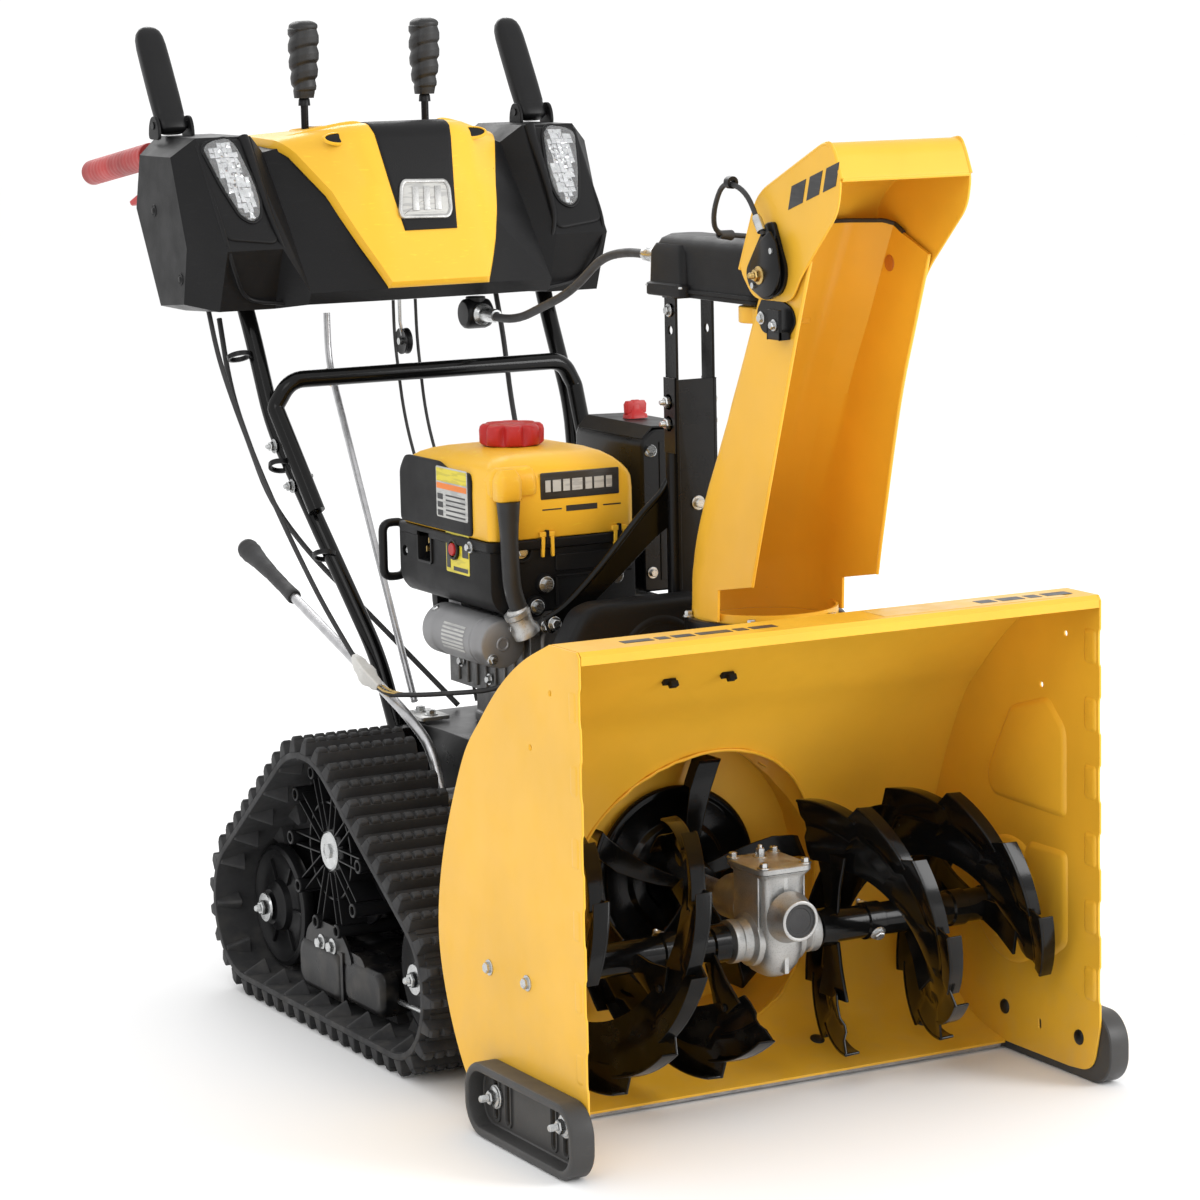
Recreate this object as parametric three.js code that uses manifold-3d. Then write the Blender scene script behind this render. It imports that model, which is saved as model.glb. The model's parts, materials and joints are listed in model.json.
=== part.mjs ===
// Two stage tracked snowblower, modelled in millimetres with +Z up.
// X runs across the machine (+X is its right as seen from the front), the intake faces -Y,
// and Z = 0 is the ground. Every solid is drawn with Y = 0 at the front edge of the intake
// side plates, then moved by CENTRE_Y so that the origin is at the middle of the footprint.
import * as THREE from "three";
import { mergeVertices } from "three/addons/utils/BufferGeometryUtils.js";
import Module from "manifold-3d";

const wasm = await Module();
wasm.setup();

// ---------------------------------------------------------------- driving dimensions
const GAP = 0.3; // clearance between touching parts
const FRONT_Y = -16; // front of the skid shoes
const REAR_Y = 1510; // rear end of the hand grips
const CENTRE_Y = (FRONT_Y + REAR_Y) / 2;

const HALF_WIDTH = 332; // intake, centre to outer face of a side plate
const DRUM_SIDES = 36;
const SHEET = 3; // sheet steel of the intake, drum and chute
const INTAKE_TOP = 567;
const PLATE_BOTTOM = 10;

const AUGER = { y: 177, z: 185, r: 150, shaft: 12, tube: 19, inner: 60, outer: 300 };
const ROTOR = { z: 215, r: 150, drum: 163, front: 336, rear: 396, back: 402 };
const SPOUT = { x: 85, y: 320, r: 80, top: 522 };
const CHUTE = { x0: 7, x1: 163, r: 85, collarLow: 506, collarTop: 538, top: 952 };

const DRIVE = { y: 712, z: 220, r: 116 }; // belt radius over the drive wheel
const IDLER = { front: 480, rear: 912, z: 110, r: 82 };
const BELT = { thick: 10, lug: 18, lugs: 48, x0: 200, x1: 335 };

const FRAME = { half: 140, front: 405.3, deck: 476, rear: 850, bottom: 112, top: 350 };
const ENGINE = { z: FRAME.top + GAP, crankZ: 455, left: -150, right: 46, front: 557, rear: 800 };
const PULLEY = { y0: 446, y1: 466, rotorR: 70, crankR: 42, groove: 12, web: 5 };

const TUBE_R = 11; // handlebar tube
const GRIP_R = 17;
const HANDLE_PATH = [
  [151.4, 800, 290], [151.4, 876, 420], [215, 1035, 703], [215, 1100, 830],
  [225, 1180, 985], [265, 1246, 1047], [265, 1500, 1012],
];
const GRIP_START = 1292;
const GRIP_END = REAR_Y - 2.3; // the tilted end face then reaches REAR_Y

const LEVER = { x: 263, y: 1222, z: 1082, angle: 59, length: 145, width: 35, depth: 18 };
const STICKS = { shift: -90, chute: 85, y: 1186, z: 1015, r: 5, grip: 19, low: 1118, top: 1211.8 };
const HEAD = { half: 32, y0: 284, y1: 515, z0: 888, z1: 960 };
const POST = { x0: 60, x1: 115, y0: 476, y1: 506, z0: FRAME.top + GAP, z1: 887 };

// ---------------------------------------------------------------- finishes
const finish = (color, roughness, metalness) => () =>
  new THREE.MeshStandardMaterial({ color, roughness, metalness });
const yellow = finish(0xf2a900, 0.35, 0.2);
const blackPaint = finish(0x141414, 0.35, 0.3);
const blackPlastic = finish(0x26282a, 0.6, 0.0);
const rubber = finish(0x1b1b1c, 0.85, 0.0);
const alloy = finish(0x9a9c9c, 0.45, 0.8);
const steel = finish(0x8d8f90, 0.35, 0.9);
const redPlastic = finish(0xb5161b, 0.45, 0.0);
const lens = finish(0xd8dde0, 0.1, 0.0);

// ---------------------------------------------------------------- solid helpers
// A three.js geometry as a manifold solid.
function solid(geometry) {
  const g = geometry.clone();
  g.deleteAttribute("normal");
  if (g.attributes.uv) g.deleteAttribute("uv");
  const m = mergeVertices(g, 1e-4);
  const mesh = new wasm.Mesh({
    numProp: 3,
    vertProperties: new Float32Array(m.attributes.position.array),
    triVerts: new Uint32Array(m.index.array),
  });
  return new wasm.Manifold(mesh);
}

// A manifold solid back as a flat-shaded geometry.
function geometryOf(body) {
  const mesh = body.getMesh();
  const g = new THREE.BufferGeometry();
  g.setAttribute("position", new THREE.BufferAttribute(new Float32Array(mesh.vertProperties), 3));
  g.setIndex(new THREE.BufferAttribute(new Uint32Array(mesh.triVerts), 1));
  const flat = g.toNonIndexed();
  flat.computeVertexNormals();
  return flat;
}

const join = (...parts) => geometryOf(parts.map(solid).reduce((a, b) => a.add(b)));
const cut = (body, ...tools) =>
  geometryOf(tools.map(solid).reduce((a, b) => a.subtract(b), solid(body)));

const box = (x0, x1, y0, y1, z0, z1) =>
  new THREE.BoxGeometry(x1 - x0, y1 - y0, z1 - z0)
    .translate((x0 + x1) / 2, (y0 + y1) / 2, (z0 + z1) / 2);

// Maps a geometry's own x, y, z onto the given world directions.
function turn(geometry, ex, ey, ez) {
  const m = new THREE.Matrix4().makeBasis(
    new THREE.Vector3(...ex), new THREE.Vector3(...ey), new THREE.Vector3(...ez));
  return geometry.applyMatrix4(m);
}

function extrude(points, depth) {
  const shape = new THREE.Shape(points.map(([u, v]) => new THREE.Vector2(u, v)));
  return new THREE.ExtrudeGeometry(shape, { depth, bevelEnabled: false });
}

// Prisms of a (y, z) outline along X, an (x, z) outline along Y and an (x, y) one along Z.
const prismX = (points, x0, x1) =>
  turn(extrude(points, x1 - x0), [0, 1, 0], [0, 0, 1], [1, 0, 0]).translate(x0, 0, 0);
const prismY = (points, y0, y1) =>
  turn(extrude(points.map(([x, z]) => [z, x]), y1 - y0), [0, 0, 1], [1, 0, 0], [0, 1, 0])
    .translate(0, y0, 0);

// Cylinders along each axis; c is the centre in the two other axes, in X, Y, Z order.
const cylX = (c, r, x0, x1, n = 20) =>
  new THREE.CylinderGeometry(r, r, x1 - x0, n).rotateZ(-Math.PI / 2)
    .translate((x0 + x1) / 2, c[0], c[1]);
const cylY = (c, r, y0, y1, n = 20) =>
  new THREE.CylinderGeometry(r, r, y1 - y0, n).translate(c[0], (y0 + y1) / 2, c[1]);
const cylZ = (c, r, z0, z1, n = 20) =>
  new THREE.CylinderGeometry(r, r, z1 - z0, n).rotateX(Math.PI / 2)
    .translate(c[0], c[1], (z0 + z1) / 2);

// The same indexed geometry with every face pointing out.
function outward(g) {
  const [p, q, r] = [new THREE.Vector3(), new THREE.Vector3(), new THREE.Vector3()];
  const { position } = g.attributes;
  const index = Array.from(g.index.array);
  let volume = 0;
  for (let i = 0; i < index.length; i += 3) {
    [p, q, r].forEach((v, k) => v.fromBufferAttribute(position, index[i + k]));
    volume += p.dot(q.cross(r));
  }
  if (volume < 0) g.setIndex(index.reverse());
  return g;
}

// A ring turned about the X axis from a closed (radius, x) profile.
function turned(profile, [y, z], n = 20) {
  const closed = [...profile, profile[0]].map(([r, h]) => new THREE.Vector2(r, h));
  return outward(new THREE.LatheGeometry(closed, n).rotateZ(-Math.PI / 2).translate(0, y, z));
}

// A closed body from rings of equal point count, flat ends included.
function loft(rings) {
  const n = rings[0].length;
  const position = rings.flat(2);
  const index = [];
  for (let r = 0; r + 1 < rings.length; r++) {
    for (let i = 0; i < n; i++) {
      const [a, b] = [r * n + i, r * n + ((i + 1) % n)];
      index.push(a, b, b + n, a, b + n, a + n);
    }
  }
  const cap = (ring, start, flip) => {
    const [o, u, v] = planeOf(ring);
    const flat = ring.map((p) => {
      const d = new THREE.Vector3(...p).sub(o);
      return new THREE.Vector2(d.dot(u), d.dot(v));
    });
    for (const [a, b, c] of THREE.ShapeUtils.triangulateShape(flat, [])) {
      index.push(...(flip ? [start + a, start + b, start + c] : [start + a, start + c, start + b]));
    }
  };
  cap(rings[0], 0, false);
  cap(rings.at(-1), (rings.length - 1) * n, true);
  const g = new THREE.BufferGeometry();
  g.setAttribute("position", new THREE.Float32BufferAttribute(position, 3));
  g.setIndex(index);
  return outward(g);
}

// Origin and two axes of the plane that a ring lies in, counter-clockwise about its normal.
function planeOf(ring) {
  const points = ring.map((p) => new THREE.Vector3(...p));
  const normal = new THREE.Vector3();
  points.forEach((p, i) => {
    normal.add(new THREE.Vector3().crossVectors(p, points[(i + 1) % points.length]));
  });
  normal.normalize();
  const u = new THREE.Vector3().subVectors(points[1], points[0]).normalize();
  const v = new THREE.Vector3().crossVectors(normal, u);
  return [points[0], u, v];
}

// A polyline with every inner corner rounded by a short arc of `steps` points.
function rounded(points, radius, steps = 2) {
  const p = points.map((q) => new THREE.Vector3(...q));
  const out = [p[0]];
  for (let i = 1; i + 1 < p.length; i++) {
    const back = new THREE.Vector3().subVectors(p[i - 1], p[i]);
    const next = new THREE.Vector3().subVectors(p[i + 1], p[i]);
    const d = Math.min(radius, back.length() * 0.45, next.length() * 0.45);
    const a = p[i].clone().addScaledVector(back.normalize(), d);
    const b = p[i].clone().addScaledVector(next.normalize(), d);
    const curve = new THREE.QuadraticBezierCurve3(a, p[i], b);
    out.push(...curve.getPoints(steps));
  }
  out.push(p.at(-1));
  return out;
}

// A round bar along a path.
function bar(points, r, corner = 0, sides = 8) {
  const path = corner ? rounded(points, corner) : points.map((q) => new THREE.Vector3(...q));
  const rings = [];
  let side = null;
  path.forEach((p, i) => {
    const before = path[Math.max(i - 1, 0)];
    const after = path[Math.min(i + 1, path.length - 1)];
    const along = new THREE.Vector3().subVectors(after, before).normalize();
    if (!side) {
      const helper = Math.abs(along.x) < 0.8 ? new THREE.Vector3(1, 0, 0) : new THREE.Vector3(0, 1, 0);
      side = new THREE.Vector3().crossVectors(along, helper);
    }
    side.addScaledVector(along, -side.dot(along)).normalize();
    const up = new THREE.Vector3().crossVectors(along, side);
    const ring = [];
    for (let k = 0; k < sides; k++) {
      const t = (2 * Math.PI * k) / sides;
      const q = p.clone().addScaledVector(side, r * Math.cos(t)).addScaledVector(up, r * Math.sin(t));
      ring.push(q.toArray());
    }
    rings.push(ring);
  });
  return loft(rings);
}

// A strip of even thickness on both sides of an open 2-D line.
function ribbon(line, thick) {
  const left = [];
  const right = [];
  line.forEach(([u, v], i) => {
    const [pu, pv] = line[Math.max(i - 1, 0)];
    const [nu, nv] = line[Math.min(i + 1, line.length - 1)];
    const a = new THREE.Vector2(u - pu, v - pv).normalize();
    const b = new THREE.Vector2(nu - u, nv - v).normalize();
    if (i === 0) a.copy(b);
    if (i === line.length - 1) b.copy(a);
    const t = a.clone().add(b).normalize();
    const k = thick / 2 / Math.max(t.dot(a), 0.4);
    left.push([u - t.y * k, v + t.x * k]);
    right.push([u + t.y * k, v - t.x * k]);
  });
  return [...left, ...right.reverse()];
}

const mirrored = ([x, y, z]) => [-x, y, z];
const sided = (points, s) => (s < 0 ? points.map(mirrored) : points);
const span = (s, a, b) => (s < 0 ? [-b, -a] : [a, b]); // an X span on side s
const radians = THREE.MathUtils.degToRad;

const machine = new THREE.Group();
function part(name, geometry, material) {
  const mesh = new THREE.Mesh(geometry, material());
  mesh.name = name;
  mesh.position.y = -CENTRE_Y;
  machine.add(mesh);
}

// ---------------------------------------------------------------- intake
const wrapLine = [
  [1.5, 553], [1.5, 565.5], [66, 565.5], [181, 505], [232, 459], [279, 406], [331, 296],
  [349, 203], [331, 123], [292, 53], [250, 25], [189, 9.5],
];
const drumHole = cylY([0, ROTOR.z], ROTOR.drum, 150, 420, DRUM_SIDES);
const wrap = prismX(ribbon(wrapLine, SHEET), -HALF_WIDTH + SHEET + GAP, HALF_WIDTH - SHEET - GAP);
part("auger_housing", cut(wrap, drumHole), yellow);

// Side plates with a rippled front edge and an inner bearing boss for the auger shaft.
const BUMPS = { first: 95, pitch: 78, count: 6, rise: 5, length: 44 };
function plateOutline() {
  const points = [[45, PLATE_BOTTOM], [14, 24], [0, 58]];
  for (let i = 0; i < BUMPS.count; i++) {
    const z = BUMPS.first + i * BUMPS.pitch;
    points.push([0, z], [BUMPS.rise, z + 8], [BUMPS.rise, z + BUMPS.length - 8]);
    points.push([0, z + BUMPS.length]);
  }
  return [
    ...points, [0, INTAKE_TOP], [67, INTAKE_TOP], [182, 506.5], [233, 460.5], [280.5, 407],
    [332.5, 296.5], [350.5, 203], [332.5, 122.5], [293, 52], [251, 23.5], [190, PLATE_BOTTOM],
  ].reverse();
}
for (const s of [-1, 1]) {
  const inner = HALF_WIDTH - SHEET;
  const plate = prismX(plateOutline(), ...span(s, inner, HALF_WIDTH));
  const boss = turned([
    [13, inner - 22], [24, inner - 22], [26, inner - 12], [44, inner - 6], [44, inner + 1], [13, inner + 1],
  ].map(([r, x]) => [r, s * x]), [AUGER.y, AUGER.z]);
  part(`side_plate_${s < 0 ? "left" : "right"}`, join(plate, boss), yellow);

  // Stadium-shaped skid shoe with a raised rim.
  const stadium = (grow) => {
    const [y0, y1, z0, z1, r] = [FRONT_Y - grow, 240 + grow, -grow, 84 + grow, 36 + grow];
    const corners = [[y1 - r, z1 - r, 0], [y0 + r, z1 - r, 90], [y0 + r, z0 + r, 180], [y1 - r, z0 + r, 270]];
    return corners.flatMap(([y, z, a]) => [0, 30, 60, 90].map((d) => {
      const t = radians(a + d);
      return [y + r * Math.cos(t), z + r * Math.sin(t)];
    }));
  };
  const shoe = prismX(stadium(0), ...span(s, HALF_WIDTH + GAP, HALF_WIDTH + 28));
  const dish = prismX(stadium(-11), ...span(s, HALF_WIDTH + 8, HALF_WIDTH + 29));
  part(`skid_shoe_${s < 0 ? "left" : "right"}`, cut(shoe, dish), blackPlastic);
}
part("scraper_bar", prismX(ribbon([[194, 5], [250, 19]], 5), -HALF_WIDTH + 6, HALF_WIDTH - 6), steel);

// Impeller drum behind the intake with the round spout that carries the chute.
const drumAxis = [0, ROTOR.z];
const drumOuter = join(
  cylY(drumAxis, ROTOR.drum + SHEET, 240, ROTOR.back + SHEET, DRUM_SIDES),
  cylZ([SPOUT.x, SPOUT.y], SPOUT.r, ROTOR.z, SPOUT.top, 24));
const drumInner = join(
  cylY(drumAxis, ROTOR.drum, 200, ROTOR.back, DRUM_SIDES),
  cylZ([SPOUT.x, SPOUT.y], SPOUT.r - SHEET, ROTOR.z, SPOUT.top + 5, 24));
const keepOut = wrapLine.slice(1, -1);
const wrapInside = [...ribbon(keepOut, SHEET + 2 * GAP).slice(0, keepOut.length), [-60, 25], [-60, 565]];
part("impeller_housing", cut(
  drumOuter, drumInner, prismX(wrapInside, -400, 400),
  cylY(drumAxis, AUGER.shaft + 2, 390, 420, 16)), yellow);

// ---------------------------------------------------------------- auger and impeller
const axisX = [AUGER.y, AUGER.z];
part("gearbox_case", cut(
  join(
    box(-29, 29, 138, 216, 150, 264), cylX(axisX, 44, -30, 30), cylX(axisX, 22, -56, 56, 16),
    cylY(drumAxis, 23, 108, 140, 20), cylY(drumAxis, 26, 210, 262, 20), box(-36, 36, 132, 222, 262, 272)),
  cylX(axisX, AUGER.shaft + 1, -60, 60, 16), cylY(drumAxis, AUGER.shaft + 1, 206, 270, 16)), alloy);
part("auger_shaft", cylX(axisX, AUGER.shaft, -327, 327, 16), steel);

// One ribbon flight of the auger, its far end turned from the near end.
const FLIGHT = { r0: 78, turn: 320, steps: 18, thick: 4, start: 70, run: 224, arm: 22 };
function flight(s, phase) {
  const rings = [];
  for (let i = 0; i <= FLIGHT.steps; i++) {
    const u = i / FLIGHT.steps;
    const t = radians(phase + FLIGHT.turn * u);
    const x = s * (FLIGHT.start + FLIGHT.run * u);
    const point = (r, dx) => [x + dx, AUGER.y + r * Math.cos(t), AUGER.z + r * Math.sin(t)];
    const h = FLIGHT.thick / 2;
    const ring = [point(FLIGHT.r0, -h), point(AUGER.r, -h), point(AUGER.r, h), point(FLIGHT.r0, h)];
    rings.push(ring);
  }
  return loft(rings);
}
function arm(s, phase, u) {
  const x = s * (FLIGHT.start + FLIGHT.run * u);
  return box(x - 3, x + 3, 15, FLIGHT.r0 + 8, -FLIGHT.arm / 2, FLIGHT.arm / 2)
    .rotateX(radians(phase + FLIGHT.turn * u)).translate(0, AUGER.y, AUGER.z);
}
for (const s of [-1, 1]) {
  const [r0, r1] = [AUGER.shaft + GAP + 0.2, AUGER.tube];
  const [x0, x1] = span(s, AUGER.inner, AUGER.outer);
  const sleeve = turned([[r0, x0], [r1, x0], [r1, x1], [r0, x1]], axisX, 16);
  const pieces = [sleeve];
  for (const phase of s < 0 ? [35, 215] : [70, 250]) {
    pieces.push(flight(s, phase), ...[0.08, 0.5, 0.92].map((u) => arm(s, phase, u)));
  }
  part(`auger_${s < 0 ? "left" : "right"}`, join(...pieces), blackPaint);
}

// A flanged pulley about the Y axis, with its groove between two flanges.
const spool = (r, z) => {
  const [y0, y1, core] = [PULLEY.y0, PULLEY.y1, r - PULLEY.groove];
  return join(
    cylY([0, z], core, y0 + 1, y1 - 1),
    cylY([0, z], r, y0, y0 + PULLEY.web), cylY([0, z], r, y1 - PULLEY.web, y1));
};
const blade = (angle) =>
  box(-2.5, 2.5, ROTOR.front, ROTOR.rear, 20, ROTOR.r).rotateY(radians(angle)).translate(0, 0, ROTOR.z);
part("impeller", join(
  cylY(drumAxis, AUGER.shaft, 212, PULLEY.y1 + 6, 16), cylY(drumAxis, 28, ROTOR.front, ROTOR.rear, 16),
  ...[0, 72, 144, 216, 288].map(blade), spool(PULLEY.rotorR, ROTOR.z)), blackPaint);

// ---------------------------------------------------------------- frame and tracks
const frameBox = join(
  box(-FRAME.half, FRAME.half, FRAME.deck, FRAME.rear, FRAME.bottom, FRAME.top),
  box(-FRAME.half, FRAME.half, FRAME.front, FRAME.deck + 10, 150, 280));
part("frame", cut(
  frameBox,
  box(-FRAME.half + SHEET, FRAME.half - SHEET, FRAME.deck - 90, FRAME.rear - SHEET, 90, FRAME.top - SHEET),
  cylX([DRIVE.y, DRIVE.z], 15, -200, 200, 16)), blackPaint);

// Outline of a loop around the three track wheels, each grown by `grow`.
function trackPath(grow) {
  const wheels = [
    { y: IDLER.rear, z: IDLER.z, r: IDLER.r + grow }, { y: DRIVE.y, z: DRIVE.z, r: DRIVE.r + grow },
    { y: IDLER.front, z: IDLER.z, r: IDLER.r + grow },
  ];
  const tangent = (a, b) => {
    const [dy, dz] = [b.y - a.y, b.z - a.z];
    const d = Math.hypot(dy, dz);
    return Math.atan2(dz, dy) - Math.acos((a.r - b.r) / d); // angle of the shared outward normal
  };
  const points = [];
  wheels.forEach((w, i) => {
    const from = tangent(wheels[(i + 2) % 3], w);
    let to = tangent(w, wheels[(i + 1) % 3]);
    while (to < from) to += 2 * Math.PI;
    const n = Math.max(3, Math.ceil((to - from) / radians(15)));
    for (let k = 0; k <= n; k++) {
      const t = from + ((to - from) * k) / n;
      points.push([w.y + w.r * Math.cos(t), w.z + w.r * Math.sin(t), t]);
    }
  });
  return points;
}
// Even steps along a closed path, as point and outward normal angle.
function walk(path, count) {
  const closed = [...path, path[0]];
  const lengths = closed.slice(1).map((p, i) => Math.hypot(p[0] - closed[i][0], p[1] - closed[i][1]));
  const total = lengths.reduce((a, b) => a + b);
  const steps = [];
  for (let k = 0; k < count; k++) {
    let d = (total * k) / count;
    let i = 0;
    while (d > lengths[i]) d -= lengths[i++];
    const f = lengths[i] ? d / lengths[i] : 0;
    const [a, b] = [closed[i], closed[i + 1]];
    const turnBy = Math.atan2(Math.sin(b[2] - a[2]), Math.cos(b[2] - a[2]));
    steps.push([a[0] + (b[0] - a[0]) * f, a[1] + (b[1] - a[1]) * f, a[2] + turnBy * f]);
  }
  return steps;
}
function beltSolid(x0, x1) {
  const outline = walk(trackPath(BELT.thick), BELT.lugs).flatMap(([y, z, t]) => {
    const [ny, nz] = [Math.cos(t), Math.sin(t)];
    const at = (along, out) => [y - nz * along + ny * out, z + ny * along + nz * out];
    return [at(-10, 0), at(-6, BELT.lug), at(6, BELT.lug), at(10, 0)];
  });
  const bore = trackPath(0).map(([y, z]) => [y, z]);
  return cut(prismX(outline, x0, x1), prismX(bore, x0 - 5, x1 + 5));
}

for (const s of [-1, 1]) {
  const side = s < 0 ? "left" : "right";
  part(`track_belt_${side}`, beltSolid(...span(s, BELT.x0, BELT.x1)), rubber);

  // Drive wheel: half shaft, hub, web and ten driving pins.
  const PINS = 10;
  const pins = [];
  for (let k = 0; k < PINS; k++) {
    const a = (2 * Math.PI * k) / PINS;
    const [y, z] = [DRIVE.y + 98 * Math.cos(a), DRIVE.z + 98 * Math.sin(a)];
    pins.push(cylX([y, z], 9, ...span(s, 224, 310), 6));
  }
  part(`drive_wheel_${side}`, join(
    cylX([DRIVE.y, DRIVE.z], 12.5, ...span(s, 130, 306), 16),
    cylX([DRIVE.y, DRIVE.z], 26, ...span(s, 226, 296), 20),
    cylX([DRIVE.y, DRIVE.z], 98, ...span(s, 264, 272), PINS * 2), ...pins), blackPlastic);

  // Idlers: twin-rimmed rollers on the carriage's two axles.
  const roller = [
    [10.5, 232], [78, 232], [78, 252], [56, 256], [56, 276], [78, 280], [78, 296], [30, 300], [10.5, 300],
  ].map(([r, x]) => [r, s * x]);
  part(`front_idler_${side}`, turned(roller, [IDLER.front, IDLER.z]), blackPlastic);
  part(`rear_idler_${side}`, turned(roller, [IDLER.rear, IDLER.z]), blackPlastic);

  // Carriage: inner side plate, cross beam and the two idler axles.
  const plate = prismX([
    [450, 92], [480, 78], [912, 78], [942, 92], [942, 128], [912, 142], [748, 240], [712, 256],
    [676, 240], [480, 142], [450, 128],
  ], ...span(s, 208, 216));
  const axle = (y) => cylX([y, IDLER.z], 9.5, ...span(s, 210, 306), 12);
  const beam = box(...span(s, 210, 286), 572, 820, 46, 98);
  part(`track_frame_${side}`, cut(
    join(plate, beam, axle(IDLER.front), axle(IDLER.rear)),
    cylX([DRIVE.y, DRIVE.z], 14.5, ...span(s, 200, 220), 16)), blackPaint);
}

// Long lever beside the left track that tilts the carriages.
part("track_lever", join(
  bar([[-180, 640, 280], [-183, 668, 345], [-193, 715, 379], [-193, 1060, 487]], 6, 20),
  bar([[-193, 1040, 480.7], [-193, 1194, 529]], 13, 0, 12),
  cylX([640, 280], 15, -189, -FRAME.half - GAP, 16)), steel);

// ---------------------------------------------------------------- engine
const { left: EL, right: ER, front: EF, rear: EB } = ENGINE;
part("engine_block", cut(
  join(
    box(-98, 100, 562, 780, 400, 513), box(-72, 88, 575, 760, ENGINE.z, 410),
    cylY([0, ENGINE.crankZ], 48, 540, 565),
    bar([[-80, 575, 486], [-110, 541, 498], [-133, 541, 545], [-133, 541, 650]], 9.5, 14)),
  cylY([0, ENGINE.crankZ], 13, 530, 560, 16)), alloy);

const SHROUD = { low: 514, top: 601.5, recoilR: 80, recoilX: -20, recoilZ: 500 };
part("engine_shroud", cut(
  join(
    prismY([
      [EL, SHROUD.low + 12], [EL + 14, SHROUD.low], [ER, SHROUD.low], [ER, SHROUD.top], [EL, SHROUD.top],
    ], EF + 2, EB + 8),
    cylY([SHROUD.recoilX, SHROUD.recoilZ], SHROUD.recoilR, 783, 836, 32)),
  box(EL - 1, EL + 14, 716, 750, 560, 596), cylX([652, 584], 9, EL - 1, EL + 6, 16)), blackPlastic);
part("start_button", cylX([652, 584], 8, EL - 6, EL + 2, 16), redPlastic);
part("fuel_tank_cover", join(
  prismY([
    [EL, 602], [ER, 602], [ER, 672], [ER - 20, 700], [EL + 22, 702], [EL, 684],
  ].reverse(), EF, EB),
  box(-149, -117, 530, EF + 2, 652, 690)), yellow);

// Fuel cap with grip lobes.
const CAP = { x: -60, y: 672, r: 40, lobes: 8, z0: 702.3, z1: 728 };
const capRim = [];
for (let k = 0; k < CAP.lobes * 3; k++) {
  const t = (2 * Math.PI * k) / (CAP.lobes * 3);
  const r = CAP.r - (k % 3 === 0 ? 5 : 0);
  capRim.push(new THREE.Vector2(r * Math.cos(t), r * Math.sin(t)));
}
part("fuel_cap", new THREE.ExtrudeGeometry(new THREE.Shape(capRim), {
  depth: CAP.z1 - CAP.z0, bevelEnabled: false,
}).translate(CAP.x, CAP.y, CAP.z0), redPlastic);

part("starter_motor", join(
  cylY([-135, 479], 31, 566, 740, 24), cylY([-135, 479], 26, 560, 570, 24),
  box(-112, -98.3, 600, 700, 460, 500)), alloy);

// Recoil starter grip: a D-shaped loop behind the left rear corner of the engine.
part("recoil_handle", cut(
  box(-160, -118, 840, 854, 520, 600), box(-150, -128, 835, 860, 532, 588)), blackPlastic);
part("muffler_cover", prismY([
  [80, SHROUD.low], [182, SHROUD.low], [182, 690], [160, 716], [96, 718], [80, 704],
].reverse(), 600, 772), blackPaint);
part("choke_knob", join(cylZ([125, 696], 9, 718.3, 730, 12), box(110, 140, 690, 702, 726, 742)), redPlastic);

// ---------------------------------------------------------------- belt drive
part("crank_pulley", join(
  cylY([0, ENGINE.crankZ], 12, PULLEY.y0 - 4, 556, 16), spool(PULLEY.crankR, ENGINE.crankZ)), steel);

// Loop around both pulleys; the section fills the groove less the clearance.
function beltLoop(grow) {
  const [ra, rb] = [PULLEY.rotorR - PULLEY.groove + grow, PULLEY.crankR - PULLEY.groove + grow];
  const lean = Math.asin((ra - rb) / (ENGINE.crankZ - ROTOR.z));
  const arc = (z, r, from, to) => Array.from({ length: 13 }, (_, k) => {
    const t = from + ((to - from) * k) / 12;
    return [r * Math.cos(t), z + r * Math.sin(t)];
  });
  return [
    ...arc(ROTOR.z, ra, Math.PI - lean, 2 * Math.PI + lean),
    ...arc(ENGINE.crankZ, rb, lean, Math.PI - lean),
  ];
}
const grooveY = [PULLEY.y0 + PULLEY.web + 1, PULLEY.y1 - PULLEY.web - 1];
part("drive_belt", cut(
  prismY(beltLoop(9), ...grooveY), prismY(beltLoop(1.2), grooveY[0] - 5, grooveY[1] + 5)), rubber);

const hood = (g) => [
  [-130 + g, 300], [-130 + g, 470], [-84 + g * 0.6, 536 - g], [84 - g * 0.6, 536 - g],
  [130 - g, 470], [130 - g, 300],
];
const hoodInside = hood(4).map(([x, z]) => [x, z === 300 ? 290 : z]);
part("belt_cover", cut(
  prismY(hood(0).reverse(), 436, 473), prismY(hoodInside.reverse(), 440, 480)), blackPlastic);

// ---------------------------------------------------------------- chute
part("chute_post", join(
  cut(box(POST.x0, POST.x1, POST.y0, POST.y1, POST.z0, POST.z1),
    box(POST.x0 + 4, POST.x1 - 4, POST.y0 - 1, POST.y1 - 4, POST.z0 + 30, POST.z1 - 12)),
  prismY([[-104, 500], [-84, 500], [100, 640], [100, 664], [88, 664]].reverse(), 503, 513)), blackPaint);

part("chute_head", join(
  box(SPOUT.x - HEAD.half, SPOUT.x + HEAD.half, HEAD.y0, HEAD.y1, HEAD.z0, HEAD.z1),
  box(SPOUT.x - 42, SPOUT.x + 42, 430, HEAD.y1 + 6, HEAD.z0, HEAD.z1 - 10),
  cylY([SPOUT.x, 930], 14, HEAD.y1, HEAD.y1 + 26, 12)), blackPlastic);

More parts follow.
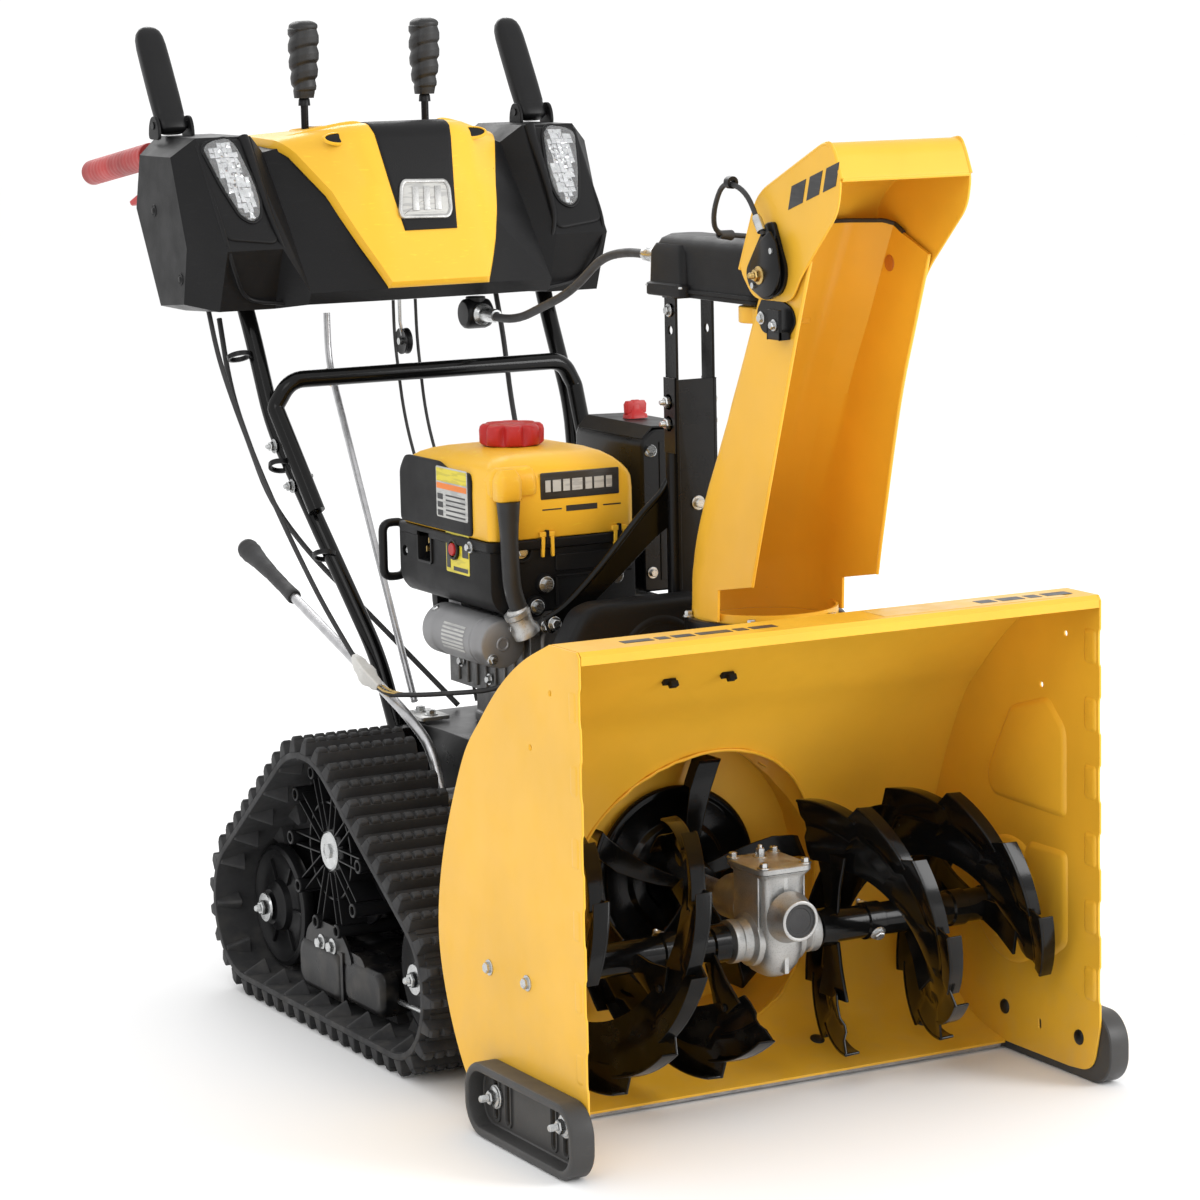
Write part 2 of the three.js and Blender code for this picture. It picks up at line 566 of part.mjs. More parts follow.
// Chute levels: height, rear and front of the side walls, and how square the section is.
const CHUTE_LEVELS = [
  [530, 405, 284, 0], [566, 403, 282, 0], [582, 398, 206, 0.08], [640, 371, 190, 0.36],
  [784, 296, 146, 1], [878, 247, 112, 1], [CHUTE.top, 211, 84, 1],
];
function chuteRing([z, rear, front, square]) {
  const [n, line] = [12, []];
  const corner = 28;
  for (let k = 0; k <= n; k++) {
    const t = Math.PI * (k / n); // right front, round the rear, to left front
    const round = [SPOUT.x + (CHUTE.r - 1.5) * Math.cos(t), rear - CHUTE.r + (CHUTE.r - 1.5) * Math.sin(t)];
    const c = Math.sign(Math.cos(t)) * Math.min(1, Math.abs(Math.cos(t)) * 1.45);
    const half = (CHUTE.x1 - CHUTE.x0) / 2 - 1.5;
    const depth = Math.min(1, Math.sin(t) * 1.6);
    const boxy = [SPOUT.x + half * c, rear - 1.5 - corner * (1 - depth) * 2.2];
    line.push(round.map((v, i) => v + (boxy[i] - v) * square));
  }
  const ends = [[line[0][0], front], [line.at(-1)[0], front]];
  return ribbon([ends[0], ...line, ends[1]], SHEET).map(([x, y]) => [x, y, z]);
}
const chuteAxis = [SPOUT.x, SPOUT.y];
const collar = cut(
  cylZ(chuteAxis, CHUTE.r, CHUTE.collarLow, CHUTE.collarTop, 24),
  cylZ(chuteAxis, CHUTE.r - SHEET, CHUTE.collarLow - 5, CHUTE.collarTop + 5, 24));
part("chute", join(
  collar, loft(CHUTE_LEVELS.map(chuteRing)), cylZ(chuteAxis, 26, 868, 884, 16),
  box(SPOUT.x - 22, SPOUT.x + 22, 248, SPOUT.y, 868, 884)), yellow);

// Deflector hood hinged outside the chute walls.
const hoodSide = [
  [196, 905], [227, 938], [186, 1020], [30, 1087], [10, 1042], [18, 1006], [94, 936], [116, 905],
];
const hoodTop = ribbon([[224, 942], [184.5, 1019], [31, 1085], [12, 1043]], SHEET);
const [D0, D1] = [CHUTE.x0 - 6, CHUTE.x1 + 6];
part("chute_deflector", join(
  prismX(hoodSide, D0, D0 + SHEET), prismX(hoodSide, D1 - SHEET, D1),
  prismX(hoodTop, D0 + 1, D1 - 1)), yellow);
part("deflector_bracket", prismX([
  [151, 992], [142, 988], [118, 940], [128, 918], [163, 905], [196, 918], [204, 934], [160, 990],
], D0 - 6, D0 - GAP), blackPaint);
part("deflector_cable", bar([
  [-12, 150, 978], [-12, 186, 1026], [-12, 236, 1034], [-10, 262, 1000], [8, 290, 972], [60, 310, 966],
], 3, 24, 6), rubber);

// Flexible drive from the crank gear under the dash to the chute head.
part("chute_flex_shaft", join(
  bar([
    [85, 1032, 829], [85, 938, 826], [85, 784, 872], [85, 700, 920], [85, 640, 930], [85, 542, 930],
  ], 5.5, 60, 8),
  cylY([85, 829], 9, 990, 1032, 12), cylY([85, 930], 9, 542, 590, 12), cylX([1046, 829], 20, 66, 104, 20)),
blackPlastic);

// ---------------------------------------------------------------- handlebar and dash
const handlePath = (s) => sided(HANDLE_PATH, s);
const gripLine = (s, y0, y1) => {
  const [a, b] = handlePath(s).slice(-2);
  const at = (y) => [a[0], y, a[2] + ((b[2] - a[2]) * (y - a[1])) / (b[1] - a[1])];
  return [at(y0), at(y1)];
};
for (const s of [-1, 1]) {
  const side = s < 0 ? "left" : "right";
  part(`handlebar_${side}`, bar(handlePath(s), TUBE_R, 40), blackPaint);
  part(`grip_${side}`, cut(
    bar(gripLine(s, GRIP_START, GRIP_END), GRIP_R, 0, 16),
    bar(gripLine(s, GRIP_START - 5, 1502), TUBE_R + 4 * GAP, 0, 10)), redPlastic);

  // Clutch paddle: a channel that stands up at rest and folds down over the grip.
  const [l, w, d] = [LEVER.length, LEVER.width / 2, LEVER.depth];
  const hollow = box(-w + 4, w - 4, 14, l - 8, -d / 2 - 1, d / 2 - 4);
  const channel = cut(box(-w, w, -10, l, -d / 2, d / 2), hollow);
  part(`clutch_lever_${side}`,
    channel.rotateX(radians(LEVER.angle)).translate(s * LEVER.x, LEVER.y, LEVER.z), blackPlastic);
  part(`trigger_${side}`, prismX([
    [1266, 990], [1280, 984], [1352, 972], [1356, 980], [1292, 1002], [1280, 1008], [1268, 1004],
  ], ...span(s, 257, 273)), redPlastic);
}
const archHalf = [[199, 944, 602], [216, 1026, 730], [188, 1018, 757], [152, 1014, 764]];
part("handle_arch", bar([...archHalf.map(mirrored), ...archHalf.slice().reverse()], TUBE_R, 26), blackPaint);

// Dash body: sections across the machine, each a (y, z) outline.
const crown = [[1004, 857], [984, 874], [1030, 985], [1062, 1072], [1240, 1058], [1244, 960], [1160, 850]];
const flank = [[1010, 857], [1000, 872], [1068, 960], [1140, 1046], [1240, 1055], [1244, 960], [1160, 850]];
const pod = [[1062, 850], [1030, 928], [1076, 998], [1122, 1068], [1250, 1068], [1262, 975], [1176, 845]];
const cheek = [[1112, 858], [1096, 930], [1118, 987], [1140, 1044], [1244, 1044], [1262, 975], [1190, 852]];
const DASH_SECTIONS = [[75, crown], [172, flank], [196, pod], [272, pod], [300, cheek]];
const dashRings = [
  ...DASH_SECTIONS.slice().reverse().map(([x, pts]) => [-x, pts]), ...DASH_SECTIONS,
].map(([x, pts]) => pts.map(([y, z]) => [x, y, z]).reverse());
const slot = (x) => box(x - 9, x + 9, STICKS.y - 24, STICKS.y + 24, STICKS.z - 15, 1100);
part("dash_shell", cut(
  loft(dashRings),
  bar(handlePath(1).slice(2), TUBE_R + 1, 40, 10), bar(handlePath(-1).slice(2), TUBE_R + 1, 40, 10),
  slot(STICKS.shift), slot(STICKS.chute)), blackPlastic);

// Outline on the sloping front face: (x, height up the slope) lifted off it along its normal.
function slopePlate(outline, foot, head, y0, thick) {
  const slope = Math.atan2(head[1] - foot[1], head[0] - foot[0]);
  return extrude(outline, thick).rotateX(slope).translate(0, foot[0], foot[1])
    .translate(0, -Math.sin(slope) * y0, Math.cos(slope) * y0);
}
// The panel is a shell over the crowned middle, trimmed to its tapering outline.
function beside(line, d) {
  const normals = line.slice(1).map(([y, z], i) => {
    const [v, w] = [y - line[i][0], z - line[i][1]];
    return [-w / Math.hypot(v, w), v / Math.hypot(v, w)];
  });
  return line.map(([y, z], i) => {
    const [a, b] = [normals[Math.max(i - 1, 0)], normals[Math.min(i, normals.length - 1)]];
    const k = d / (1 + a[0] * b[0] + a[1] * b[1]);
    return [y + (a[0] + b[0]) * k, z + (a[1] + b[1]) * k];
  });
}
const swollen = (d, past) => loft(
  [[-172 - past, flank], [-75, crown], [75, crown], [172 + past, flank]].map(([x, pts]) => {
    const [a, b, c, e] = beside(pts.slice(1, 5), d);
    const under = [[a[0], 800 - past], [1300 + past, 800 - past]];
    return [[1300 + past, e[1]], e, c, b, a, ...under].map(([y, z]) => [x, y, z]);
  }));
const trim = (s) => prismY(
  [[73, 800], [73, 878], [96, 924], [165, 1041], [170, 1060], [170, 1120], [300, 1120], [300, 800]]
    .map(([x, z]) => [s * x, z]), 900, 1300);
part("dash_panel", cut(
  swollen(6.2, 0), swollen(0.4, 5), trim(1), trim(-1), box(-300, 300, 900, 1320, 700, 877),
  box(-300, 300, 1228, 1320, 700, 1120),
  slot(STICKS.shift), slot(STICKS.chute)), yellow);
for (const s of [-1, 1]) {
  const outline = [[268, 160], [227, 162], [207, 70], [216, 44], [232, 44], [246, 74]]
    .map(([x, v]) => [s * x, v]);
  part(`headlight_${s < 0 ? "left" : "right"}`,
    slopePlate(outline, pod[1], pod[3], GAP, 7), lens);
}

// Control sticks with long grips.
for (const [name, x] of [["shift_lever", STICKS.shift], ["chute_lever", STICKS.chute]]) {
  part(name, join(
    cylX([STICKS.y, STICKS.z], 9, x - 7, x + 7, 12),
    bar([[x, STICKS.y, STICKS.z], [x, STICKS.y, STICKS.low + 10]], STICKS.r, 0, 8),
    bar([[x, STICKS.y, STICKS.low], [x, STICKS.y - 4, STICKS.top]], STICKS.grip, 0, 12)), blackPlastic);
}
part("shift_rod", bar([[-90, 1136, 834], [-92, 1130, 770], [-120, 840, 366]], 4.5, 30), steel);
part("clutch_cable_left", bar([
  [-236, 1150, 834], [-240, 1110, 740], [-232, 1015, 610], [-190, 988, 540], [-140, 930, 470],
  [-60, 838, 355],
], 3.5, 50, 6), rubber);

export default machine;
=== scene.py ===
import json
import math
import random

import bmesh
import bpy
from mathutils import Matrix, Vector


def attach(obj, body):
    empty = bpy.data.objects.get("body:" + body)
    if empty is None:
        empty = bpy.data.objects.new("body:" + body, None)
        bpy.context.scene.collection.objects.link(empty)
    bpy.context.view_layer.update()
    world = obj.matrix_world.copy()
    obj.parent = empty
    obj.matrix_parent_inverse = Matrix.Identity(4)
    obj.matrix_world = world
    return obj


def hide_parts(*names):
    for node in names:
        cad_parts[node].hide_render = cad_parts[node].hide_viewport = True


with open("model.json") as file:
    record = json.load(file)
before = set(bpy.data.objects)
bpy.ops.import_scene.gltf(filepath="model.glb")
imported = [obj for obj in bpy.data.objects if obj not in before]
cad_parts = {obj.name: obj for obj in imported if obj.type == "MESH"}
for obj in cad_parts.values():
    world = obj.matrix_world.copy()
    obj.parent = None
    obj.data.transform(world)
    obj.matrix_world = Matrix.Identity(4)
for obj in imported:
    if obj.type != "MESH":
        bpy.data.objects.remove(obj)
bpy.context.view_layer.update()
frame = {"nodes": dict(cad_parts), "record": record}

# Lengths below are in millimetres, with Y = 0 at the front of the intake side plates.
CENTRE_Y = 747.0
X, Y, Z = Vector((1, 0, 0)), Vector((0, 1, 0)), Vector((0, 0, 1))
TAU = 2 * math.pi
SIDES = (("left", -1), ("right", 1))
MACHINE = "machine"


def metres(p):
    return Vector((p[0], p[1] - CENTRE_Y, p[2])) * 0.001


# ---------------------------------------------------------------- camera, light, floor
def set_camera():
    yaw, pitch, roll = (math.radians(a) for a in (28.32, 8.99, -1.17))
    back = Vector((-math.sin(yaw) * math.cos(pitch), -math.cos(yaw) * math.cos(pitch), math.sin(pitch)))
    right = Vector((math.cos(yaw), -math.sin(yaw), 0))
    up = back.cross(right)
    r = right * math.cos(roll) + up * math.sin(roll)
    u = up * math.cos(roll) - right * math.sin(roll)
    data = bpy.data.cameras.new("camera")
    data.sensor_width, data.lens = 36.0, 117.99
    data.clip_start, data.clip_end = 0.1, 100
    camera = bpy.data.objects.new("camera", data)
    place = Vector((-2.2204, -4.3015, 1.2596))
    camera.matrix_world = Matrix((
        (r.x, u.x, back.x, place.x), (r.y, u.y, back.y, place.y), (r.z, u.z, back.z, place.z), (0, 0, 0, 1)))
    bpy.context.scene.collection.objects.link(camera)
    bpy.context.scene.camera = camera


def area_light(name, place, target, size, power):
    data = bpy.data.lights.new(name, "AREA")
    data.shape, data.size, data.size_y, data.energy = "RECTANGLE", size[0], size[1], power
    lamp = bpy.data.objects.new(name, data)
    lamp.location = place
    lamp.rotation_euler = (Vector(target) - Vector(place)).to_track_quat("-Z", "Y").to_euler()
    bpy.context.scene.collection.objects.link(lamp)


def set_stage():
    scene = bpy.context.scene
    scene.view_settings.view_transform = "Standard"
    world = bpy.data.worlds.new("studio")
    scene.world = world
    world.use_nodes = True
    world.node_tree.nodes["Background"].inputs[0].default_value = (1, 1, 1, 1)
    world.node_tree.nodes["Background"].inputs[1].default_value = 1.08
    area_light("key", (-2.6, -3.2, 3.4), (0, 0, 0.5), (2.2, 1.6), 24)
    area_light("fill", (2.8, -3.4, 2.0), (0, -0.3, 0.4), (1.6, 2.2), 96)
    area_light("rim", (0.5, 3.6, 3.2), (0, 0, 0.6), (3.0, 1.4), 60)
    bpy.ops.mesh.primitive_plane_add(size=40, location=(0, 0, -0.0005))
    floor = bpy.context.object
    floor.name = "floor"
    m = bpy.data.materials.new("floor")
    m.use_nodes = True
    shader = m.node_tree.nodes["Principled BSDF"]
    shader.inputs["Base Color"].default_value = (0.93, 0.93, 0.93, 1)
    shader.inputs["Roughness"].default_value = 0.9
    floor.data.materials.append(m)


# ---------------------------------------------------------------- materials
class Nodes:
    """A Principled material, with short calls for the nodes in front of it."""

    def __init__(self, name):
        self.material = bpy.data.materials.new(name)
        self.material.use_nodes = True
        self.tree = self.material.node_tree
        self.shader = self.tree.nodes["Principled BSDF"]
        self.where = self.tree.nodes.new("ShaderNodeTexCoord").outputs["Object"]

    def link(self, a, b):
        self.tree.links.new(a, b)
        return b

    def stretched(self, scale):
        n = self.tree.nodes.new("ShaderNodeMapping")
        n.inputs["Scale"].default_value = scale
        self.link(self.where, n.inputs["Vector"])
        return n.outputs[0]

    def noise(self, scale, detail=3, where=None):
        n = self.tree.nodes.new("ShaderNodeTexNoise")
        n.inputs["Scale"].default_value = scale
        n.inputs["Detail"].default_value = detail
        self.link(where or self.where, n.inputs["Vector"])
        return n.outputs["Fac"]

    def cells(self, scale):
        n = self.tree.nodes.new("ShaderNodeTexVoronoi")
        n.inputs["Scale"].default_value = scale
        self.link(self.where, n.inputs["Vector"])
        return n.outputs["Distance"]

    def ramp(self, value, stops):
        n = self.tree.nodes.new("ShaderNodeValToRGB")
        e = n.color_ramp.elements
        while len(e) < len(stops):
            e.new(0.5)
        for k, (at, c) in enumerate(stops):
            e[k].position = at
            e[k].color = (c, c, c, 1) if isinstance(c, (int, float)) else (*c, 1)
        self.link(value, n.inputs[0])
        return n.outputs[0]

    def mix(self, share, a, b, mode="MIX"):
        n = self.tree.nodes.new("ShaderNodeMix")
        n.data_type, n.blend_type = "RGBA", mode
        for value, put in ((share, n.inputs[0]), (a, n.inputs[6]), (b, n.inputs[7])):
            if isinstance(value, bpy.types.NodeSocket):
                self.link(value, put)
            else:
                put.default_value = value if isinstance(value, (int, float)) else (*value, 1)
        return n.outputs[2]

    def math(self, kind, a, b):
        n = self.tree.nodes.new("ShaderNodeMath")
        n.operation = kind
        for value, put in ((a, n.inputs[0]), (b, n.inputs[1])):
            if isinstance(value, bpy.types.NodeSocket):
                self.link(value, put)
            else:
                put.default_value = value
        return n.outputs[0]

    def height(self):
        n = self.tree.nodes.new("ShaderNodeSeparateXYZ")
        self.link(self.where, n.inputs[0])
        return n.outputs["Z"]

    def bump(self, value, depth, strength=1.0):
        n = self.tree.nodes.new("ShaderNodeBump")
        n.inputs["Distance"].default_value = depth
        n.inputs["Strength"].default_value = strength
        self.link(value, n.inputs["Height"])
        old = self.shader.inputs["Normal"]
        if old.is_linked:
            self.link(old.links[0].from_socket, n.inputs["Normal"])
        self.link(n.outputs[0], old)

    def set(self, **values):
        for key, value in values.items():
            put = self.shader.inputs[key.replace("_", " ")]
            if isinstance(value, bpy.types.NodeSocket):
                self.link(value, put)
            else:
                put.default_value = (*value, 1) if isinstance(value, tuple) else value


def coated(name, color, rough, coat=0.0, metallic=0.0, peel=0.00006, wear=0.25, dust=0.12, shine=0.35):
    """Powder coat or gloss paint: orange peel, faint cloudiness, small chips and dust near the ground."""
    n = Nodes(name)
    cloudy = n.ramp(n.noise(7, 4),
                    [(0.3, tuple(c * 0.93 for c in color)), (0.7, tuple(min(1, c * 1.05) for c in color))])
    chips = n.ramp(n.noise(160, 6), [(0.74, 0.0), (0.78, 1.0)])
    worn = n.mix(n.math("MULTIPLY", chips, wear), cloudy, tuple(c * 0.55 + 0.05 for c in color))
    low = n.ramp(n.height(), [(0.0, 1.0), (0.28, 0.0)])
    speck = n.ramp(n.noise(38, 8), [(0.45, 0.0), (0.8, 1.0)])
    n.set(Base_Color=n.mix(n.math("MULTIPLY", n.math("MULTIPLY", low, speck), dust), worn, (0.42, 0.36, 0.28)))
    n.set(Roughness=n.ramp(n.noise(24, 5), [(0.25, rough * 0.8), (0.75, min(1.0, rough * 1.35))]),
          Metallic=metallic,
          Specular_IOR_Level=shine)
    if coat:
        n.set(Coat_Weight=coat, Coat_Roughness=0.08)
    n.bump(n.noise(420, 2), peel)
    return n.material


def moulded(name, color, rough, grain=900, depth=0.00012, fade=1.25, shine=0.32):
    """Injection-moulded plastic: fine leather grain, scuffs and slight bleaching."""
    n = Nodes(name)
    base = n.ramp(n.noise(9, 5), [(0.3, color), (0.75, tuple(min(1, c * fade) for c in color))])
    scuff = n.ramp(n.noise(60, 9, n.stretched((1, 1, 6))), [(0.62, 0.0), (0.72, 1.0)])
    n.set(Base_Color=n.mix(n.math("MULTIPLY", scuff, 0.22), base, tuple(min(1, c * 1.8 + 0.01) for c in color)))
    n.set(Roughness=n.ramp(n.noise(30, 6), [(0.3, rough * 0.85), (0.7, min(1.0, rough * 1.15))]),
          Specular_IOR_Level=shine)
    n.bump(n.cells(grain), depth)
    return n.material


def rubbery(name, color, rough=0.78):
    n = Nodes(name)
    base = n.ramp(n.noise(14, 6), [(0.3, tuple(c * 0.8 for c in color)), (0.72, tuple(c * 1.4 for c in color))])
    low = n.ramp(n.height(), [(0.0, 1.0), (0.22, 0.15)])
    dust = n.math("MULTIPLY", n.ramp(n.noise(46, 8), [(0.46, 0.0), (0.75, 1.0)]), n.math("MULTIPLY", low, 0.16))
    n.set(Base_Color=n.mix(dust, base, (0.2, 0.18, 0.15)))
    n.set(Roughness=n.ramp(n.noise(70, 4), [(0.3, rough * 0.85), (0.7, min(1.0, rough * 1.12))]))
    n.bump(n.noise(700, 4), 0.0002)
    return n.material


def cast(name, color, rough=0.42, metallic=0.85):
    """As-cast alloy: sand-cast pits, darker hollows and a little oil."""
    n = Nodes(name)
    base = n.ramp(n.noise(22, 6), [(0.28, tuple(c * 0.62 for c in color)), (0.65, color)])
    pits = n.ramp(n.cells(520), [(0.0, 0.4), (0.35, 1.0)])
    n.set(Base_Color=n.mix(0.8, base, pits, "MULTIPLY"), Metallic=metallic)
    n.set(Roughness=n.ramp(n.noise(90, 6), [(0.3, rough * 0.75), (0.7, rough * 1.35)]))
    n.bump(n.noise(380, 8), 0.00022)
    return n.material


def plated(name, color, rough=0.24, brush=(1, 1, 40)):
    """Zinc plate or brushed steel with fine drawing lines."""
    n = Nodes(name)
    lines = n.noise(110, 4, n.stretched(brush))
    base = n.ramp(n.noise(60, 6), [(0.25, tuple(c * 0.7 for c in color)), (0.7, color)])
    n.set(Base_Color=base, Metallic=0.95)
    n.set(Roughness=n.ramp(lines, [(0.3, rough * 0.7), (0.7, rough * 1.6)]))
    n.bump(lines, 0.00003)
    return n.material


def clear(name):
    n = Nodes(name)
    n.set(Base_Color=(0.95, 0.96, 0.97), Roughness=n.ramp(n.noise(40, 3), [(0.3, 0.02), (0.7, 0.09)]))
    n.set(Transmission_Weight=0.92, IOR=1.45)
    n.bump(n.cells(220), 0.0003, 0.4)
    return n.material


def printed(name, color, ink):
    """A plain label: faint mottling of one colour with soft rows of a second, no lettering."""
    n = Nodes(name)
    rows = n.ramp(n.noise(26, 2, n.stretched((1, 1, 9))), [(0.5, 0.0), (0.56, 1.0)])
    n.set(Base_Color=n.mix(n.math("MULTIPLY", rows, 0.6), color, ink))
    n.set(Roughness=n.ramp(n.noise(50, 3), [(0.3, 0.32), (0.7, 0.48)]))
    n.bump(n.noise(300, 2), 0.00002)
    return n.material


YELLOW = coated("yellow_coat", (0.82, 0.455, 0.034), 0.36, coat=0.1)
YELLOW_PLASTIC = moulded("yellow_moulding", (0.85, 0.475, 0.034), 0.34, grain=1400, depth=0.00003, fade=1.04)
GLOSS_BLACK = coated("gloss_black", (0.003, 0.003, 0.003), 0.14, shine=0.2, coat=0.04, peel=0.00005, wear=0.5,
                     dust=0.05)
SATIN_BLACK = coated("satin_black", (0.005, 0.005, 0.0055), 0.28, shine=0.2, coat=0.03, wear=0.4, dust=0.1)
BLACK_PLASTIC = moulded("black_grained", (0.008, 0.008, 0.0085), 0.44, shine=0.16)
DARK_PLASTIC = moulded("black_smooth", (0.007, 0.007, 0.0075), 0.34, grain=1500, depth=0.00004, shine=0.22)
SHOE_PLASTIC = moulded("shoe_polymer", (0.042, 0.041, 0.04), 0.42, grain=700, depth=0.0001)
RUBBER = rubbery("track_rubber", (0.022, 0.022, 0.023))
SOFT_BLACK = rubbery("soft_black", (0.02, 0.02, 0.021), 0.6)
RED_PLASTIC = moulded("red_moulding", (0.42, 0.018, 0.018), 0.38, grain=1300, depth=0.00004, fade=1.1)
STICK_RUBBER = rubbery("stick_rubber", (0.009, 0.009, 0.0095), 0.5)
RED_GRIP = rubbery("red_grip", (0.34, 0.02, 0.018), 0.5)
ALLOY = cast("cast_alloy", (0.52, 0.52, 0.51))
DARK_ALLOY = cast("dark_alloy", (0.2, 0.2, 0.2), 0.5, 0.7)
MOTOR_GREY = coated("motor_grey", (0.27, 0.27, 0.275), 0.4, metallic=0.5, wear=0.3, dust=0.02)
ZINC = plated("zinc_plate", (0.62, 0.63, 0.63))
ROD_STEEL = plated("rod_steel", (0.55, 0.55, 0.56), 0.3, (1, 30, 1))
GOLD_ZINC = plated("yellow_zinc", (0.62, 0.43, 0.16))
MIRROR = plated("lamp_reflector", (0.9, 0.9, 0.9), 0.06, (1, 1, 1))
LENS = clear("lamp_lens")
LABEL_DARK = printed("label_dark", (0.016, 0.016, 0.017), (0.03, 0.03, 0.032))
LABEL_GREY = printed("label_grey", (0.5, 0.5, 0.48), (0.3, 0.3, 0.3))
LABEL_YELLOW = printed("label_yellow", (0.72, 0.6, 0.03), (0.5, 0.42, 0.03))
LABEL_PALE = printed("label_pale", (0.78, 0.5, 0.12), (0.7, 0.43, 0.09))
NYLON = moulded("clear_nylon", (0.62, 0.61, 0.58), 0.3, grain=900, depth=0.00002, fade=1.05)
DEEP = moulded("deep_black", (0.004, 0.004, 0.004), 0.7)
HINGE_ORANGE = coated("hinge_orange", (0.5, 0.16, 0.02), 0.4)
LABEL_ORANGE = moulded("label_orange", (0.7, 0.19, 0.03), 0.4)

# The record's slot for each material, which piece() looks up unless its call says another.
SLOT_OF = {material.name: slot for slot, group in (
    ("yellow_paint", (YELLOW, HINGE_ORANGE)), ("yellow_plastic", (YELLOW_PLASTIC,)),
    ("black_paint", (GLOSS_BLACK, SATIN_BLACK)),
                                                   ("black_plastic", (BLACK_PLASTIC, DARK_PLASTIC, SHOE_PLASTIC,
        DEEP)),
    ("rubber", (RUBBER, SOFT_BLACK, STICK_RUBBER)), ("red_plastic", (RED_PLASTIC, RED_GRIP)),
    ("aluminium", (ALLOY, DARK_ALLOY, MOTOR_GREY)), ("steel", (ZINC, ROD_STEEL, GOLD_ZINC)),
    ("lens", (LENS, MIRROR, NYLON))) for material in group}


# ---------------------------------------------------------------- geometry helpers
# A geometry is (list of points in millimetres, list of faces).
def join(*geos):
    points, faces = [], []
    for p, f in geos:
        n = len(points)
        points += list(p)
        faces += [[i + n for i in q] for q in f]
    return points, faces


def moved(geo, m):
    return [m @ Vector(p) for p in geo[0]], geo[1]


def shifted(geo, d):
    return moved(geo, Matrix.Translation(Vector(d)))


def mirror_x(geo):
    return [Vector((-p[0], p[1], p[2])) for p in geo[0]], [list(reversed(f)) for f in geo[1]]


def for_side(geo, s):
    """A geometry drawn on the +X side, put on side s."""
    return geo if s > 0 else mirror_x(geo)


def loft(rings, caps=True, loop=False):
    """A skin through rings of equal count; loop joins the last ring to the first."""
    n = len(rings[0])
    points = [Vector(p) for r in rings for p in r]
    faces = []
    last = len(rings) if loop else len(rings) - 1
    for k in range(last):
        a, b = k * n, ((k + 1) % len(rings)) * n
        for i in range(n):
            j = (i + 1) % n
            faces.append([a + i, a + j, b + j, b + i])
    if caps and not loop:
        faces += [list(range(n)), list(range(len(points) - n, len(points)))]
    return points, faces


def spline(a, b, c, d, t):
    """Catmull-Rom point between b and c."""
    return 0.5 * (2 * b + (c - a) * t + (2 * a - 5 * b + 4 * c - d) * t * t + (3 * b - a - 3 * c + d) * t ** 3)


def curve(points, per=8):
    """A smooth line through the points."""
    p = [Vector(q) for q in points]
    out = []
    for i in range(len(p) - 1):
        b, c = p[i], p[i + 1]
        a = p[i - 1] if i else b * 2 - c
        d = p[i + 2] if i + 2 < len(p) else c * 2 - b
        out += [spline(a, b, c, d, k / per) for k in range(per)]
    return out + [p[-1]]


def filleted(points, radius, per=6, closed=False):
    """A polyline with round corners."""
    p = [Vector(q) for q in points]
    n = len(p)
    out = []
    for i in range(n):
        if not closed and i in (0, n - 1):
            out.append(p[i])
            continue
        a, b, c = p[i - 1], p[i], p[(i + 1) % n]
        r = radius[i] if isinstance(radius, (list, tuple)) else radius
        d = min(r, (a - b).length * 0.48, (c - b).length * 0.48)
        s, e = b + (a - b).normalized() * d, b + (c - b).normalized() * d
        out += [s.lerp(b, t / per).lerp(b.lerp(e, t / per), t / per) for t in range(per + 1)]
    return out


def curve2(points, per):
    """The same for 2-D points."""
    return [(p.x, p.y) for p in curve([(a, b, 0) for a, b in points], per)]


def filleted2(points, r, n=5, closed=True):
    """2-D outline with round corners."""
    return [(p.x, p.y) for p in filleted([(a, b, 0) for a, b in points], r, n, closed=closed)]


def frames(path, up=None):
    """Point, side and up for each point of a path, without twist."""
    out = []
    side = None
    for i, p in enumerate(path):
        along = (path[min(i + 1, len(path) - 1)] - path[max(i - 1, 0)]).normalized()
        if side is None:
            helper = Vector(up) if up else (X if abs(along.x) < 0.8 else Y)
            side = along.cross(helper)
        side = (side - along * side.dot(along)).normalized()
        out.append((p, side, along.cross(side)))
    return out


def tube(path, r, sides=16):
    """A round bar along a path; r is a radius, or a function of the share of the length."""
    path = [Vector(p) for p in path]
    length = [0.0]
    for a, b in zip(path, path[1:]):
        length.append(length[-1] + (b - a).length)
    rings = []
    for (p, s, u), d in zip(frames(path), length):
        q = r(d / length[-1]) if callable(r) else r
        rings.append([p + (s * math.cos(TAU * k / sides) + u * math.sin(TAU * k / sides)) * q
                      for k in range(sides)])
    return loft(rings)


def bar(a, b, r, sides=20):
    return tube([a, b], r, sides)


def basis(axis):
    z = Vector(axis).normalized()
    x = (X if abs(z.x) < 0.8 else Y).cross(z).normalized()
    return Matrix((x, z.cross(x), z)).transposed()


def turned(profile, origin, axis, n=40, phase=0.0, loop=False):
    """A body turned about an axis from (radius, height) points; with loop, the profile is a closed ring."""
    m = basis(axis)
    o = Vector(origin)
    rings = []
    for r, h in profile:
        ring = []
        for k in range(n):
            t = TAU * k / n + phase
            ring.append(o + m @ Vector((r * math.cos(t), r * math.sin(t), h)))
        rings.append(ring)
    return loft(rings, caps=not loop, loop=loop)


def outline3(points, plane, level):
    """2-D points put on a plane: 'x' takes (y, z), 'y' takes (x, z), 'z' takes (x, y)."""
    if plane == "x":
        return [Vector((level, a, b)) for a, b in points]
    if plane == "y":
        return [Vector((a, level, b)) for a, b in points]
    return [Vector((a, b, level)) for a, b in points]


def prism(points, plane, a, b):
    return loft([outline3(points, plane, a), outline3(points, plane, b)])


